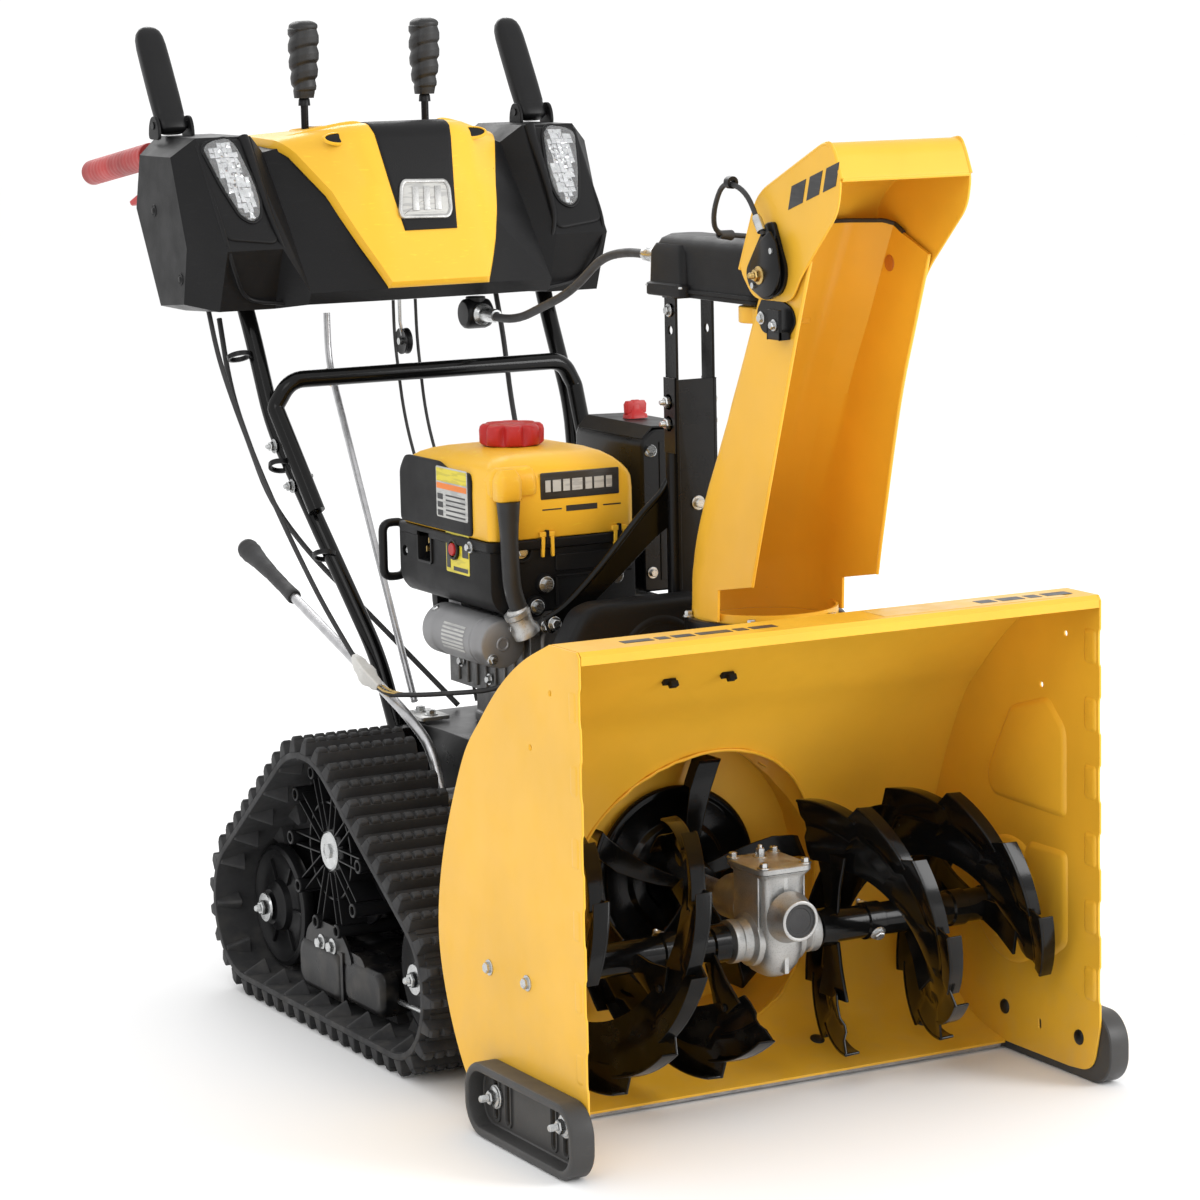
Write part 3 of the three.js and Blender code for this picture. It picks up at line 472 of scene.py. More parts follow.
def plate_rings(outline, levels, plane="z"):
    """A plate through (level, inset) steps; the inset shrinks the outline about its own edges."""
    return loft([outline3(offset(outline, -d), plane, level) for level, d in levels])


def offset(points, d):
    """A closed 2-D outline moved out by d."""
    p = [Vector(q) for q in points]
    area = sum(a.x * b.y - b.x * a.y for a, b in zip(p, p[1:] + p[:1]))
    s = 1 if area > 0 else -1
    out = []
    n = len(p)
    for i in range(n):
        e1 = (p[i] - p[i - 1]).normalized()
        e2 = (p[(i + 1) % n] - p[i]).normalized()
        n1, n2 = Vector((e1.y, -e1.x)) * s, Vector((e2.y, -e2.x)) * s
        m = n1 + n2
        m = m / max(0.4, m.length_squared / 2)
        out.append(p[i] + m * d)
    return out


def block(x0, x1, y0, y1, z0, z1):
    return prism([(x0, y0), (x1, y0), (x1, y1), (x0, y1)], "z", z0, z1)


def round_rect(cx, cy, w, h, r, n=6):
    out = []
    for sx, sy, a in ((1, 1, 0), (-1, 1, 90), (-1, -1, 180), (1, -1, 270)):
        for k in range(n + 1):
            t = math.radians(a + 90 * k / n)
            out.append((cx + sx * (w / 2 - r) + r * math.cos(t), cy + sy * (h / 2 - r) + r * math.sin(t)))
    return out


def hex_bolt(p, axis, r=6.5, h=5.5, washer=True, stud=0.0):
    """Hex head with a chamfered top, on a washer, and the end of its thread if it is a nut."""
    parts = []
    base = 0.0
    if washer:
        parts.append(turned([(0, 0), (r * 1.45, 0), (r * 1.45, 1.2), (r * 1.35, 1.6), (0, 1.6)], p, axis, 24))
        base = 1.6
    parts.append(turned([(0, base), (r, base), (r, base + h * 0.78), (r * 0.84, base + h), (0, base + h)], p,
                        axis, 6, 0.3))
    if stud:
        t = [(0, base + h)]
        k = 0
        while k * 1.4 < stud:
            t += [(r * 0.5, base + h + k * 1.4 + 0.3), (r * 0.43, base + h + k * 1.4 + 1.0)]
            k += 1
        t += [(r * 0.36, base + h + stud + 1), (0, base + h + stud + 1)]
        parts.append(turned(t, p, axis, 14))
    return join(*parts)


def dome_bolt(p, axis, r=7, h=3.2):
    steps = [(0, -0.5), (r, -0.5), (r, 0.3)]
    steps += [(r * math.cos(a), 0.3 + h * math.sin(a)) for a in (0.35, 0.7, 1.05, 1.35)]
    return turned(steps + [(0, 0.3 + h)], p, axis, 22)


def cross_screw(p, axis, r=4.2):
    m = basis(axis)
    head = turned([(0, 0), (r, 0), (r, 1.2), (r * 0.8, 2.4), (r * 0.3, 2.9), (0, 2.9)], p, axis, 20)
    slots = [moved(block(-r * 0.55, r * 0.55, -0.5, 0.5, 2.2, 3.05),
                   Matrix.Translation(Vector(p)) @ m.to_4x4() @ Matrix.Rotation(turn, 4, "Z"))
             for turn in (0, math.pi / 2)]
    return join(head, *slots)


def piece(name, geo, material, body=MACHINE, slot=None, replaces=(), bevel=0.0, segments=2, sharp=32,
          flat=False):
    """One visible piece: welded, smoothed, given its edge radius (mm) and put on its CAD body."""
    mesh = bpy.data.meshes.new(name)
    bm = bmesh.new()
    made = [bm.verts.new(metres(p)) for p in geo[0]]
    for f in geo[1]:
        corners = [made[i] for i in dict.fromkeys(f)]
        if len(corners) > 2 and not bm.faces.get(corners):
            bm.faces.new(corners)
    bmesh.ops.remove_doubles(bm, verts=bm.verts, dist=2e-6)
    bmesh.ops.dissolve_degenerate(bm, edges=bm.edges, dist=1e-6)
    bmesh.ops.recalc_face_normals(bm, faces=bm.faces)
    for f in bm.faces:
        f.smooth = not flat
    bm.to_mesh(mesh)
    bm.free()
    if not bevel:
        mesh.set_sharp_from_angle(angle=math.radians(sharp))
    mesh.materials.append(material)
    o = bpy.data.objects.new(name, mesh)
    bpy.context.scene.collection.objects.link(o)
    if bevel:
        m = o.modifiers.new("edges", "BEVEL")
        m.width, m.segments, m.limit_method = bevel * 0.001, segments, "ANGLE"
        m.angle_limit = math.radians(sharp)
        m.use_clamp_overlap = True
        w = o.modifiers.new("normals", "WEIGHTED_NORMAL")
        w.weight = 80
    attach(o, body)
    slot = slot or SLOT_OF.get(material.name)
    if replaces:
        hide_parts(*([replaces] if isinstance(replaces, str) else replaces))
    return o


def drilled(o, cutter_name, geo):
    """Cuts holes through a piece with a hidden tool, before its edges are rounded."""
    mesh = bpy.data.meshes.new(cutter_name)
    bm = bmesh.new()
    made = [bm.verts.new(metres(p)) for p in geo[0]]
    for f in geo[1]:
        bm.faces.new([made[i] for i in f])
    bmesh.ops.remove_doubles(bm, verts=bm.verts, dist=1e-6)
    bmesh.ops.recalc_face_normals(bm, faces=bm.faces)
    bm.to_mesh(mesh)
    bm.free()
    tool = bpy.data.objects.new(cutter_name, mesh)
    bpy.context.scene.collection.objects.link(tool)
    m = o.modifiers.new("holes", "BOOLEAN")
    m.operation, m.solver, m.object = "DIFFERENCE", "EXACT", tool
    o.modifiers.move(len(o.modifiers) - 1, 0)
    dg = bpy.context.evaluated_depsgraph_get()
    kept = [x for x in o.modifiers if x.type != "BOOLEAN"]
    shown = [x.show_viewport for x in kept]
    for x in kept:
        x.show_viewport = False
    dg.update()
    made = bpy.data.meshes.new_from_object(o.evaluated_get(dg))
    for x, was in zip(kept, shown):
        x.show_viewport = was
    o.modifiers.remove(o.modifiers["holes"])
    for p in made.polygons:
        p.use_smooth = True
    if not kept:
        made.set_sharp_from_angle(angle=math.radians(32))
    o.data = made
    bpy.data.objects.remove(tool)
    return o


def keep(node, material, bevel=0.8, segments=2, sharp=28):
    """A CAD node whose shape is right: only its finish and its edge radius are added."""
    o = frame["nodes"][node]
    o.data.materials.clear()
    o.data.materials.append(material)
    if o.data.attributes.get("custom_normal"):
        o.data.attributes.remove(o.data.attributes["custom_normal"])
    for p in o.data.polygons:
        p.use_smooth = True
    weld = o.modifiers.new("weld", "WELD")
    weld.merge_threshold = 1e-5
    flat = o.modifiers.new("flat", "DECIMATE")
    flat.decimate_type, flat.angle_limit = "DISSOLVE", math.radians(0.6)
    if bevel:
        m = o.modifiers.new("edges", "BEVEL")
        m.width, m.segments, m.limit_method = bevel * 0.001, segments, "ANGLE"
        m.angle_limit = math.radians(sharp)
    w = o.modifiers.new("normals", "WEIGHTED_NORMAL")
    w.weight = 80
    return o


set_camera()
set_stage()
random.seed(7)

# ---------------------------------------------------------------- intake
def wrap_line():
    """Side view of the intake sheet, in (y, z), from the front lip over the back to the cutting edge."""
    bend = [(66, 565.5), (128, 539), (181, 505), (232, 459), (279, 406), (331, 296), (349, 203), (331, 123),
            (292, 53), (250, 25), (189, 9.5)]
    line = [(1.5, 553), (1.5, 562), (5.5, 565.5), (40, 565.5)]
    return line + curve2(bend, 7)


def shift_line(line, d):
    """An open 2-D line moved to its left by d."""
    out = []
    for i, p in enumerate(line):
        a, b = Vector(line[max(i - 1, 0)]), Vector(line[min(i + 1, len(line) - 1)])
        t = (b - a).normalized()
        out.append((p[0] - t.y * d, p[1] + t.x * d))
    return out


def ribbon(line, thick):
    return shift_line(line, thick / 2) + shift_line(line, -thick / 2)[::-1]


def stadium(n=12):
    """The skid shoe's side view, in (y, z)."""
    y0, y1, z0, z1, r = -16, 240, 0, 84, 36
    out = []
    for cy, cz, a in ((y1 - r, z1 - r, 0), (y0 + r, z1 - r, 90), (y0 + r, z0 + r, 180), (y1 - r, z0 + r, 270)):
        for k in range(n + 1):
            t = math.radians(a + 90 * k / n)
            out.append((cy + r * math.cos(t), cz + r * math.sin(t)))
    return out


def build_intake():
    hole = bar((0, 150, 215), (0, 420, 215), 163, 96)
    wrap = piece("intake_sheet", prism(ribbon(wrap_line(), 3), "x", -328.6, 328.6), YELLOW,
                 replaces="auger_housing", bevel=1.0, sharp=40)
    drilled(wrap, "drum_hole", hole)
    # Rolled rim of the drum mouth, following the curved sheet.
    back = curve([Vector((y, z, 0)) for y, z in ((279, 406), (331, 296), (349, 203), (331, 123), (292, 53))],
                 12)

    def depth(z):
        return min(back, key=lambda p: abs(p.y - z)).x
    rim = []
    for k in range(96):
        t = TAU * k / 96
        x, z = 164.2 * math.cos(t), 215 + 164.2 * math.sin(t)
        y = depth(z)
        c, s = math.cos(t), math.sin(t)
        rim.append([Vector((x + c * q * 2.0, y - 2 + w * 2.2, z + s * q * 2.0))
                    for q, w in ((1, 0), (0.7, 0.7), (0, 1), (-0.7, 0.7), (-1, 0), (-0.7, -0.7), (0, -1),
                                 (0.7, -0.7))])
    piece("drum_mouth_rim", loft(rim, loop=True), YELLOW)

    # Side plates: smooth outline with a rippled front edge, pressed panels and a bearing dish.
    rear = [(66, 567), (128, 540.6), (182, 506.5), (233, 460.5), (280.5, 407), (332.5, 296.5), (350.5, 203),
            (332.5, 122.5), (293, 52), (251, 23.5), (190, 10)]
    plate_line = curve2(rear, 7)
    front = [(60, 10)] + filleted2([(60, 10), (14, 14), (0, 70)], 40, 8, closed=False)
    for k in range(6):
        z = 95 + k * 78
        front += [(0, z), (2, z + 3), (2.6, z + 9), (2.6, z + 35), (2, z + 41), (0, z + 44)]
    front += [(0, 561), (5, 567)]
    for side, s in SIDES:
        a, b = (329, 332) if s > 0 else (-332, -329)
        plate = piece(f"intake_plate_{side}", prism(front + plate_line, "x", a, b), YELLOW,
                      replaces=f"side_plate_{side}", bevel=0.9, sharp=40)
        holes = [bar((s * 320, y, z), (s * 340, y, z), 3.2, 12) for y, z in ((66, 515), (114, 449))]
        holes.append(prism(round_rect(119, 47, 5, 12, 2.4), "x", min(s * 320, s * 340), max(s * 320, s * 340)))
        drilled(plate, f"plate_holes_{side}", join(*holes))

        inner = 329.2
        pads = [
            [(64, 300), (64, 404), (100, 438), (176, 416), (226, 330), (214, 304)],
            [(62, 152), (62, 262), (138, 262), (150, 246), (150, 232), (130, 140), (108, 122)],
        ]
        relief = []
        for outline in pads:
            relief.append(plate_rings(filleted2(outline, 12, 4), (
                (inner, 0), (inner - 1.2, 1.2), (inner - 3.2, 4.6), (inner - 4.2, 7.5)), "x"))
        for k in range(6):
            z = 95 + k * 78 + 22
            relief.append(plate_rings(round_rect(18, z, 24, 40, 6, 4), (
                (inner, 0), (inner - 1.2, 1.6), (inner - 2.2, 5)), "x"))
            relief.append(plate_rings(round_rect(16, z, 16, 34, 5, 4), ((331.9, 0), (332.5, 1.4), (332.6, 4.5)),
                                      "x"))
        piece(f"plate_pressings_{side}", for_side(join(*relief), s), YELLOW, sharp=50)

        dish = [(76, 0), (74, 2.5), (70, 4), (52, 5), (47, 7.5), (44, 12), (34, 14), (29, 16), (26, 21),
                (16, 22), (13, 22)]
        hub = turned(dish, (s * 329.4, 177, 185), (-s, 0, 0), 56)
        piece(f"bearing_dish_{side}", hub, YELLOW, sharp=60)
        bolts = []
        for k in range(3):
            t = math.radians(35 + 120 * k)
            bolts.append(hex_bolt((s * 316.5, 177 + 37 * math.cos(t), 185 + 37 * math.sin(t)), (-s, 0, 0), 5,
                                  4))
        outer = [hex_bolt((s * 332, y, z), (s, 0, 0), 6.2, 5) for y, z in ((224, 184), (133, 186))]
        piece(f"bearing_bolts_{side}", join(*bolts, *outer), ZINC, sharp=30)
        spokes = []
        for k in range(5):
            t = TAU * k / 5 + 0.4
            m = Matrix.Translation((s * 310, 177, 185)) @ Matrix.Rotation(t, 4, "X")
            spokes.append(moved(prism(round_rect(0, 31, 9, 20, 4, 3), "x", -9, 6), m))
        piece(f"bearing_webs_{side}", join(*spokes), YELLOW, bevel=1.5)

        # Skid shoe: thick rounded rim round a sunk face with two pairs of slots.
        steps = [(332.4, 1.5), (334, 0), (356, 0), (358.6, 1.0), (359.8, 3.2), (359.8, 7.4), (358.6, 9.6),
                 (356, 10.6),
                 (341.5, 11.4), (340.4, 13), (340.4, 20)]
        shoe = piece(f"skid_shoe_body_{side}", for_side(plate_rings(stadium(), steps, "x"), s), SHOE_PLASTIC,
                     replaces=f"skid_shoe_{side}", sharp=45)
        cuts, lips = [], []
        for cy, cz in ((196, 44), (33, 50)):
            for dy in (0, -28 if cy > 100 else 28):
                cuts.append(for_side(prism(round_rect(cy + dy, 43, 9, 46, 4, 5), "x", 330, 350), s))
                loop = [outline3(round_rect(cy + dy, 43, 9 + w, 46 + w, 4 + w / 2, 5), "x", x)
                        for x, w in ((340.2, 8), (342.4, 7), (342.4, 2), (340.2, 0.4))]
                lips.append(for_side(loft(loop, caps=False), s))
        drilled(shoe, f"shoe_slots_{side}", join(*cuts))
        piece(f"shoe_slot_lips_{side}", join(*lips), SHOE_PLASTIC, sharp=40)
        studs = []
        for cy, cz in ((196, 45), (33, 53)):
            p = (s * 341, cy, cz)
            studs.append(turned([(0, 0), (14, 0), (14, 2), (13, 2.6), (0, 2.6)], p, (s, 0, 0), 28))
            studs.append(shifted(hex_bolt(p, (s, 0, 0), 8.2, 7, True, 9), (s * 2.6, 0, 0)))
        piece(f"shoe_nuts_{side}", join(*studs), ZINC, sharp=30)

    # Black carriage bolts through the wrap, black clips under the roof, and plain bars on the top flange.
    domes = []
    y, z = min((p for p in wrap_line()[4:] if p[1] < 200), key=lambda p: abs(p[1] - 27))
    n = Vector((0, -0.35, 0.94))
    for x in (-215, -80, 110, 255):
        domes.append(dome_bolt(Vector((x, y, z)) + n * 1.2, n, 9, 3))
    for s in (-1, 1):
        domes.append(dome_bolt((s * 328.8, 40, 49), (-s, 0, 0), 9, 3.4))
        domes.append(dome_bolt((s * 328.8, 190, 52), (-s, 0, 0), 9, 3.4))
    piece("carriage_bolts", join(*domes), SATIN_BLACK)
    clips = []
    for x in (-112, -37):
        y, z = 203, 484
        clips.append(shifted(moved(block(-8, 8, -7, 1, -4, 4), Matrix.Rotation(-0.7, 4, "X")), (x, y, z)))
        clips.append(shifted(moved(block(-3, 7, -12, -3, -9, -2), Matrix.Rotation(-0.5, 4, "X")), (x, y, z)))
    piece("cable_clips", join(*clips), DEEP, bevel=1.2)
    piece("flange_panel_right", block(54, 296, 14, 58, 567.0, 567.5), LABEL_PALE, bevel=0.2)
    bars = []
    for x, gap, rear, low, high, widths in ((188, 7, 44, 567.5, 567.8, (22, 30, 16, 34)),
                                            (-262, 6, 40, 567.0, 567.5, (36, 14, 24, 40, 14, 30))):
        for w in widths:
            bars.append(block(x, x + w, 26, rear, low, high))
            x += w + gap
    piece("flange_bars", join(*bars), LABEL_DARK, bevel=0.2)
    # The scraper bar and the drum keep their CAD shape.
    keep("scraper_bar", ROD_STEEL, 0.6)
    keep("impeller_housing", YELLOW, 0.5)
    bolts = [hex_bolt((x, 222, 15.5), (0, 0.28, -0.96), 6, 4) for x in (-290, -150, 0, 150, 290)]
    piece("scraper_bolts", join(*bolts), ZINC, sharp=30)


build_intake()

# ---------------------------------------------------------------- auger, gearbox, impeller
AXLE = Vector((0, 177, 185))
DRUM = Vector((0, 0, 215))  # any point of the impeller's axis, which runs along Y
FLIGHT = {"start": 70, "run": 224, "turn": 320, "teeth": 9, "inner": 66, "tip": 150}


def round_axle(x, r, t):
    return Vector((x, AXLE.y + r * math.cos(t), AXLE.z + r * math.sin(t)))


def flight(s, phase):
    """A stamped ribbon with a pressed rib; its outer edge is straight between saw teeth."""
    rings, lips = [], []
    for k in range(FLIGHT["teeth"]):
        lip = []
        for i in range(9):
            u = (k + i / 8) / FLIGHT["teeth"]
            t = math.radians(phase + FLIGHT["turn"] * u)
            x = s * (FLIGHT["start"] + FLIGHT["run"] * u)
            share = i / 8
            tip = FLIGHT["tip"] - 0.6 - 19 * share
            ends = min(1.0, u / 0.09, (1 - u) / 0.09)
            inner = FLIGHT["inner"] + 12 * (1 - ends)
            section = []
            for q, bend in ((0, 2.0), (0.16, 0), (0.38, 0), (0.5, 4.5), (0.62, 4.5), (0.74, 0), (1.0, -1.0)):
                section.append((inner + (tip - inner) * q, bend))
            if i < 8 or k == FLIGHT["teeth"] - 1:
                ring = [round_axle(x + s * (b - 1.6), r, t) for r, b in section]
                ring += [round_axle(x + s * (b + 1.6), r, t) for r, b in reversed(section)]
                rings.append(ring)
            w = 17 - 3 * share
            lip.append([round_axle(x - s * 3.5, tip - 3.6, t), round_axle(x - s * 3.5, tip, t),
                        round_axle(x + s * w, tip - 1.0, t), round_axle(x + s * w, tip - 4.2, t)])
        lips.append(loft(lip))
    return join(loft(rings), *lips)


def build_auger():
    for side, s in SIDES:
        body = "augers"
        phases = (35, 215) if s < 0 else (70, 250)
        arms, bolts = [], []
        for phase in phases:
            for u in (0.06, 0.5, 0.94):
                t = math.radians(phase + FLIGHT["turn"] * u)
                x = s * (FLIGHT["start"] + FLIGHT["run"] * u)
                rings = []
                for r, w, lean in ((17, 13, 0), (30, 15, 2), (48, 18, 4), (66, 24, 2), (84, 30, 0)):
                    ring = []
                    for dx, dw in ((-2.2, -w), (2.2, -w), (2.2 + lean, -w * 0.35), (2.2 + lean, w * 0.35),
                                   (2.2, w), (-2.2, w),
                                   (-2.2 + lean, w * 0.35), (-2.2 + lean, -w * 0.35)):
                        a = math.atan2(dw, r)
                        ring.append(round_axle(x + s * dx, math.hypot(r, dw), t + a))
                    rings.append(ring)
                arms.append(loft(rings))
                bolts.append(hex_bolt(round_axle(x + s * 2.4, 76, t), (s, 0, 0), 4.5, 3.5, False))
        flights = [flight(s, phase) for phase in phases]
        piece(f"auger_flights_{side}", join(*flights, *arms), GLOSS_BLACK, body,
              replaces=f"auger_{side}", bevel=0.8, segments=1, sharp=38)
        a, b = 60, 300
        sleeve = [(12.6, a), (21, a), (22, a + 1), (22, a + 20), (19, a + 22), (19, a + 62), (21.5, a + 64),
                  (21.5, a + 84), (19, a + 86),
                  (19, b - 62), (21.5, b - 60), (21.5, b - 42), (19, b - 40), (19, b - 14), (21, b - 12),
                  (21, b), (12.6, b)]
        tube_geo = turned([(r, s * h) for r, h in sleeve], AXLE, (1, 0, 0), 40, loop=True)
        piece(f"auger_sleeve_{side}", tube_geo, GLOSS_BLACK, body, sharp=30)
        t = math.radians(215)
        shear = join(hex_bolt(round_axle(s * 134, 20, t), round_axle(0, 1, t) - AXLE, 6.5, 5.5, True),
                     hex_bolt(round_axle(s * 134, 20, t + math.pi), round_axle(0, 1, t + math.pi) - AXLE, 6.5,
                              6, True, 4))
        piece(f"shear_bolt_{side}", shear, ZINC, body, sharp=30)
        piece(f"auger_bolts_{side}", join(*bolts), SATIN_BLACK, body, sharp=30)
    keep("auger_shaft", ROD_STEEL, 0.6)

    # Gearbox: a cast case between the two augers, with its cover, side necks and front boss.
    def ring(z, w, d, r):
        return [Vector((a, b, z)) for a, b in round_rect(0, AXLE.y, w, d, r, 5)]
    case = loft([ring(z, w, d, r) for z, w, d, r in (
        (141, 22, 34, 9), (145, 34, 48, 13), (156, 48, 66, 18), (172, 55, 78, 20), (196, 57, 80, 20),
                                                     (214, 56, 76, 18),
        (236, 56, 72, 15), (258, 58, 74, 12), (264, 66, 82, 10))])
    necks = [turned([(12.9, s * 20), (32, s * 20), (31, s * 31), (25, s * 35), (23, s * 44), (25, s * 46),
                     (25, s * 56), (12.9, s * 56)],
                    AXLE, (1, 0, 0), 36, loop=True) for s in (-1, 1)]
    boss = turned([(0, 134), (30, 134), (27, 128), (23.5, 120), (23.5, 109.5), (22.5, 108.4), (19.4, 108.4),
                   (19, 110), (19, 116), (0, 116)],
                  DRUM, Y, 40)
    tail = turned([(12.9, 205), (31, 205), (28, 226), (26, 240), (26, 262), (12.9, 262)], DRUM, Y, 36,
                  loop=True)
    rib = [block(-3, 3, 140, 214, 148, 262), block(-31, -28.5, 150, 204, 200, 262),
           block(28.5, 31, 150, 204, 200, 262)]
    piece("gearbox_body", join(case, *necks, boss, tail, *rib), ALLOY, replaces="gearbox_case",
          bevel=1.6, segments=2, sharp=40)
    lid = plate_rings(round_rect(0, AXLE.y, 68, 84, 10, 5),
                      [(264.6, 1), (265.4, 0), (270.6, 0), (272, 1.6), (272.6, 5)])
    piece("gearbox_lid", lid, ALLOY, sharp=40)
    plug = turned([(0, 0), (18.8, 0), (18.8, 1.4), (15, 1.2), (14, 0.4), (0, 0.4)], (0, 112.5, 215), (0, -1, 0),
                  36)
    piece("gearbox_plug", plug, SOFT_BLACK)
    tops = [hex_bolt((x, y, 272), Z, 5, 5, True) for x in (-27, 27) for y in (143, 211)]
    tops.append(hex_bolt((0, 196, 272), Z, 5.5, 9, True, 3))
    piece("gearbox_bolts", join(*tops), ZINC, sharp=30)

    # Impeller: hub, ribbed back disc and five swept blades with a folded edge.
    disc = turned([(0, 390), (40, 390), (44, 386), (60, 386), (66, 391), (92, 391), (98, 387), (104, 388),
                   (106, 391), (106, 395), (0, 395)], DRUM, Y, 72)
    hub = turned([(0, 330), (20, 330), (22, 333), (22, 352), (28, 356), (28, 392), (0, 392)], DRUM, Y, 36)
    blades = []
    for k in range(5):
        a = math.radians(72 * k)
        rings = []
        for r, sweep, w in ((22, 0, 50), (50, 3, 54), (80, 9, 56), (110, 17, 58), (135, 27, 58), (147, 33, 56)):
            c = Vector((math.sin(a) * r + math.cos(a) * sweep, 0, 215 + math.cos(a) * r - math.sin(a) * sweep))
            if r > 140:
                c = DRUM + (c - DRUM).normalized() * 147
            n = Vector((math.cos(a), 0, -math.sin(a)))
            y0 = 395 - w
            fold = 9 + 17 * min(1, r / 110)
            rings.append([c + n * 2 + Y * y0, c + n * 2 + Y * 394, c - n * 2 + Y * 394,
                          c - n * 2 + Y * (y0 + 2),
                          c - n * fold + Y * (y0 + 4), c - n * fold + Y * (y0 + 1.5), c + Y * (y0 - 2.5)])
        blades.append(loft(rings))
    shaft = bar((0, 264, 215), (0, 330, 215), 12, 28)
    piece("impeller_rotor", join(disc, hub, *blades), GLOSS_BLACK, "impeller", replaces="impeller",
          bevel=0.8, segments=1, sharp=35)
    piece("impeller_shaft", join(shaft, bar((0, 396, 215), (0, 472, 215), 12, 28)), ROD_STEEL, "impeller")
    rim = [(12, 446), (60, 446), (70, 446.5), (70, 450), (59, 452), (59, 460), (70, 462), (70, 465.5),
           (60, 466), (12, 466)]
    piece("impeller_pulley", turned(rim, DRUM, Y, 60, loop=True), SATIN_BLACK, "impeller")
    piece("rotor_bolts", join(*[hex_bolt((34 * math.sin(t), 386, 215 + 34 * math.cos(t)), (0, -1, 0), 5, 4)
                                for t in (0.6, 2.7, 4.8)]),
          ZINC, "impeller", sharp=30)
    # Rivet heads inside the drum.
    seams = [turned([(0, 0), (6, 0), (6, 1.5), (0, 2.5)], (x, y, z), n, 16)
             for x, y, z, n in ((-60, 352, 215 + 148, (0.37, 0, -0.92)), (96, 350, 215 + 128, (-0.6, 0, -0.8)))]
    piece("drum_rivets", join(*seams), YELLOW)


build_auger()

# ---------------------------------------------------------------- tracks and undercarriage
WHEELS = [(912, 110, 82), (712, 220, 116), (480, 110, 82)]


def track_line(grow, step=6):
    """Points (y, z, normal angle) round the three wheels."""
    wheels = [(y, z, r + grow) for y, z, r in WHEELS]

    def tangent(a, b):
        dy, dz = b[0] - a[0], b[1] - a[1]
        return math.atan2(dz, dy) - math.acos((a[2] - b[2]) / math.hypot(dy, dz))
    points = []
    for i, w in enumerate(wheels):
        a, b = tangent(wheels[i - 1], w), tangent(w, wheels[(i + 1) % 3])
        while b < a:
            b += TAU
        n = max(3, math.ceil((b - a) / math.radians(step)))
        points += [(w[0] + w[2] * math.cos(a + (b - a) * k / n), w[1] + w[2] * math.sin(a + (b - a) * k / n),
                    a + (b - a) * k / n) for k in range(n + 1)]
    return points


def evenly(path, count):
    closed = path + [path[0]]
    lengths = [math.hypot(b[0] - a[0], b[1] - a[1]) for a, b in zip(closed, closed[1:])]
    total, out = sum(lengths), []
    for k in range(count):
        d, i = total * k / count, 0
        while d > lengths[i]:
            d -= lengths[i]
            i += 1
        f = d / lengths[i] if lengths[i] else 0
        a, b = closed[i], closed[i + 1]
        swing = math.atan2(math.sin(b[2] - a[2]), math.cos(b[2] - a[2]))
        out.append((a[0] + (b[0] - a[0]) * f, a[1] + (b[1] - a[1]) * f, a[2] + swing * f))
    return out


def spot(place, along, out, x):
    y, z, t = place
    return Vector((x, y - math.sin(t) * along + math.cos(t) * out, z + math.cos(t) * along + math.sin(t) * out))


def belt(s):
    """Rubber belt: a carcass band, 48 cross lugs with notched crests, and two rows of guide teeth inside."""
    x0, x1 = 200, 335
    inner, outer = track_line(0.3), track_line(8.2)
    band = [[Vector((s * x0, i[0], i[1])), Vector((s * x1, i[0], i[1])), Vector((s * x1, o[0], o[1])),
             Vector((s * x0, o[0], o[1]))]
            for i, o in zip(inner, outer)]
    parts = [loft(band, loop=True)]
    places = evenly(track_line(10), 48)
    for place in places:
        def rib(xa, xb, foot, top, low, high):
            pts = []
            for x in (xa, xb):
                e = 2.2 if x == xa else -2.2
                pts.append([spot(place, -foot, low, s * x), spot(place, foot, low, s * x),
                            spot(place, top, high, s * (x + e)), spot(place, -top, high, s * (x + e))])
            return loft(pts)
        parts.append(rib(x0 - 0.2, x1 + 0.2, 9.2, 5.4, -2.4, 13.2))
        for k in range(9):
            a = x0 + 2 + k * 14.6
            parts.append(rib(a, a + 13.2 if k < 8 else x1 - 2, 5.3, 3.7, 12.8, 17.6))
        parts.append(rib(x0 + 8, x1 - 8, 15, 11.5, -2.2, 0.4))
    for place in evenly(track_line(0.5), 24):
        # The teeth are lower where the belt runs round the drive wheel.
        on_wheel = abs(math.hypot(place[0] - WHEELS[1][0], place[1] - WHEELS[1][1]) - WHEELS[1][2]) < 14
        tall = 7.5 if on_wheel else 21
        base = [spot(place, along, 0.5, s * x) for along, x in ((-17, 257), (17, 257), (17, 275), (-17, 275))]
        peak = [spot(place, along, -tall, s * x) for along, x in ((-4, 261), (4, 261), (4, 271), (-4, 271))]
        parts.append(loft([base, peak]))
        foot = [spot(place, along, 0.5, s * x) for along, x in ((-13, 303), (13, 303), (5, 333.5), (-5, 333.5))]
        high = 9 if on_wheel else 17
        crest = [spot(place, -2.4, -high, s * 305), spot(place, 2.4, -high, s * 305),
                 spot(place, 1.6, -2.6, s * 332), spot(place, -1.6, -2.6, s * 332)]
        parts.append(loft([foot, crest]))
    return join(*parts)


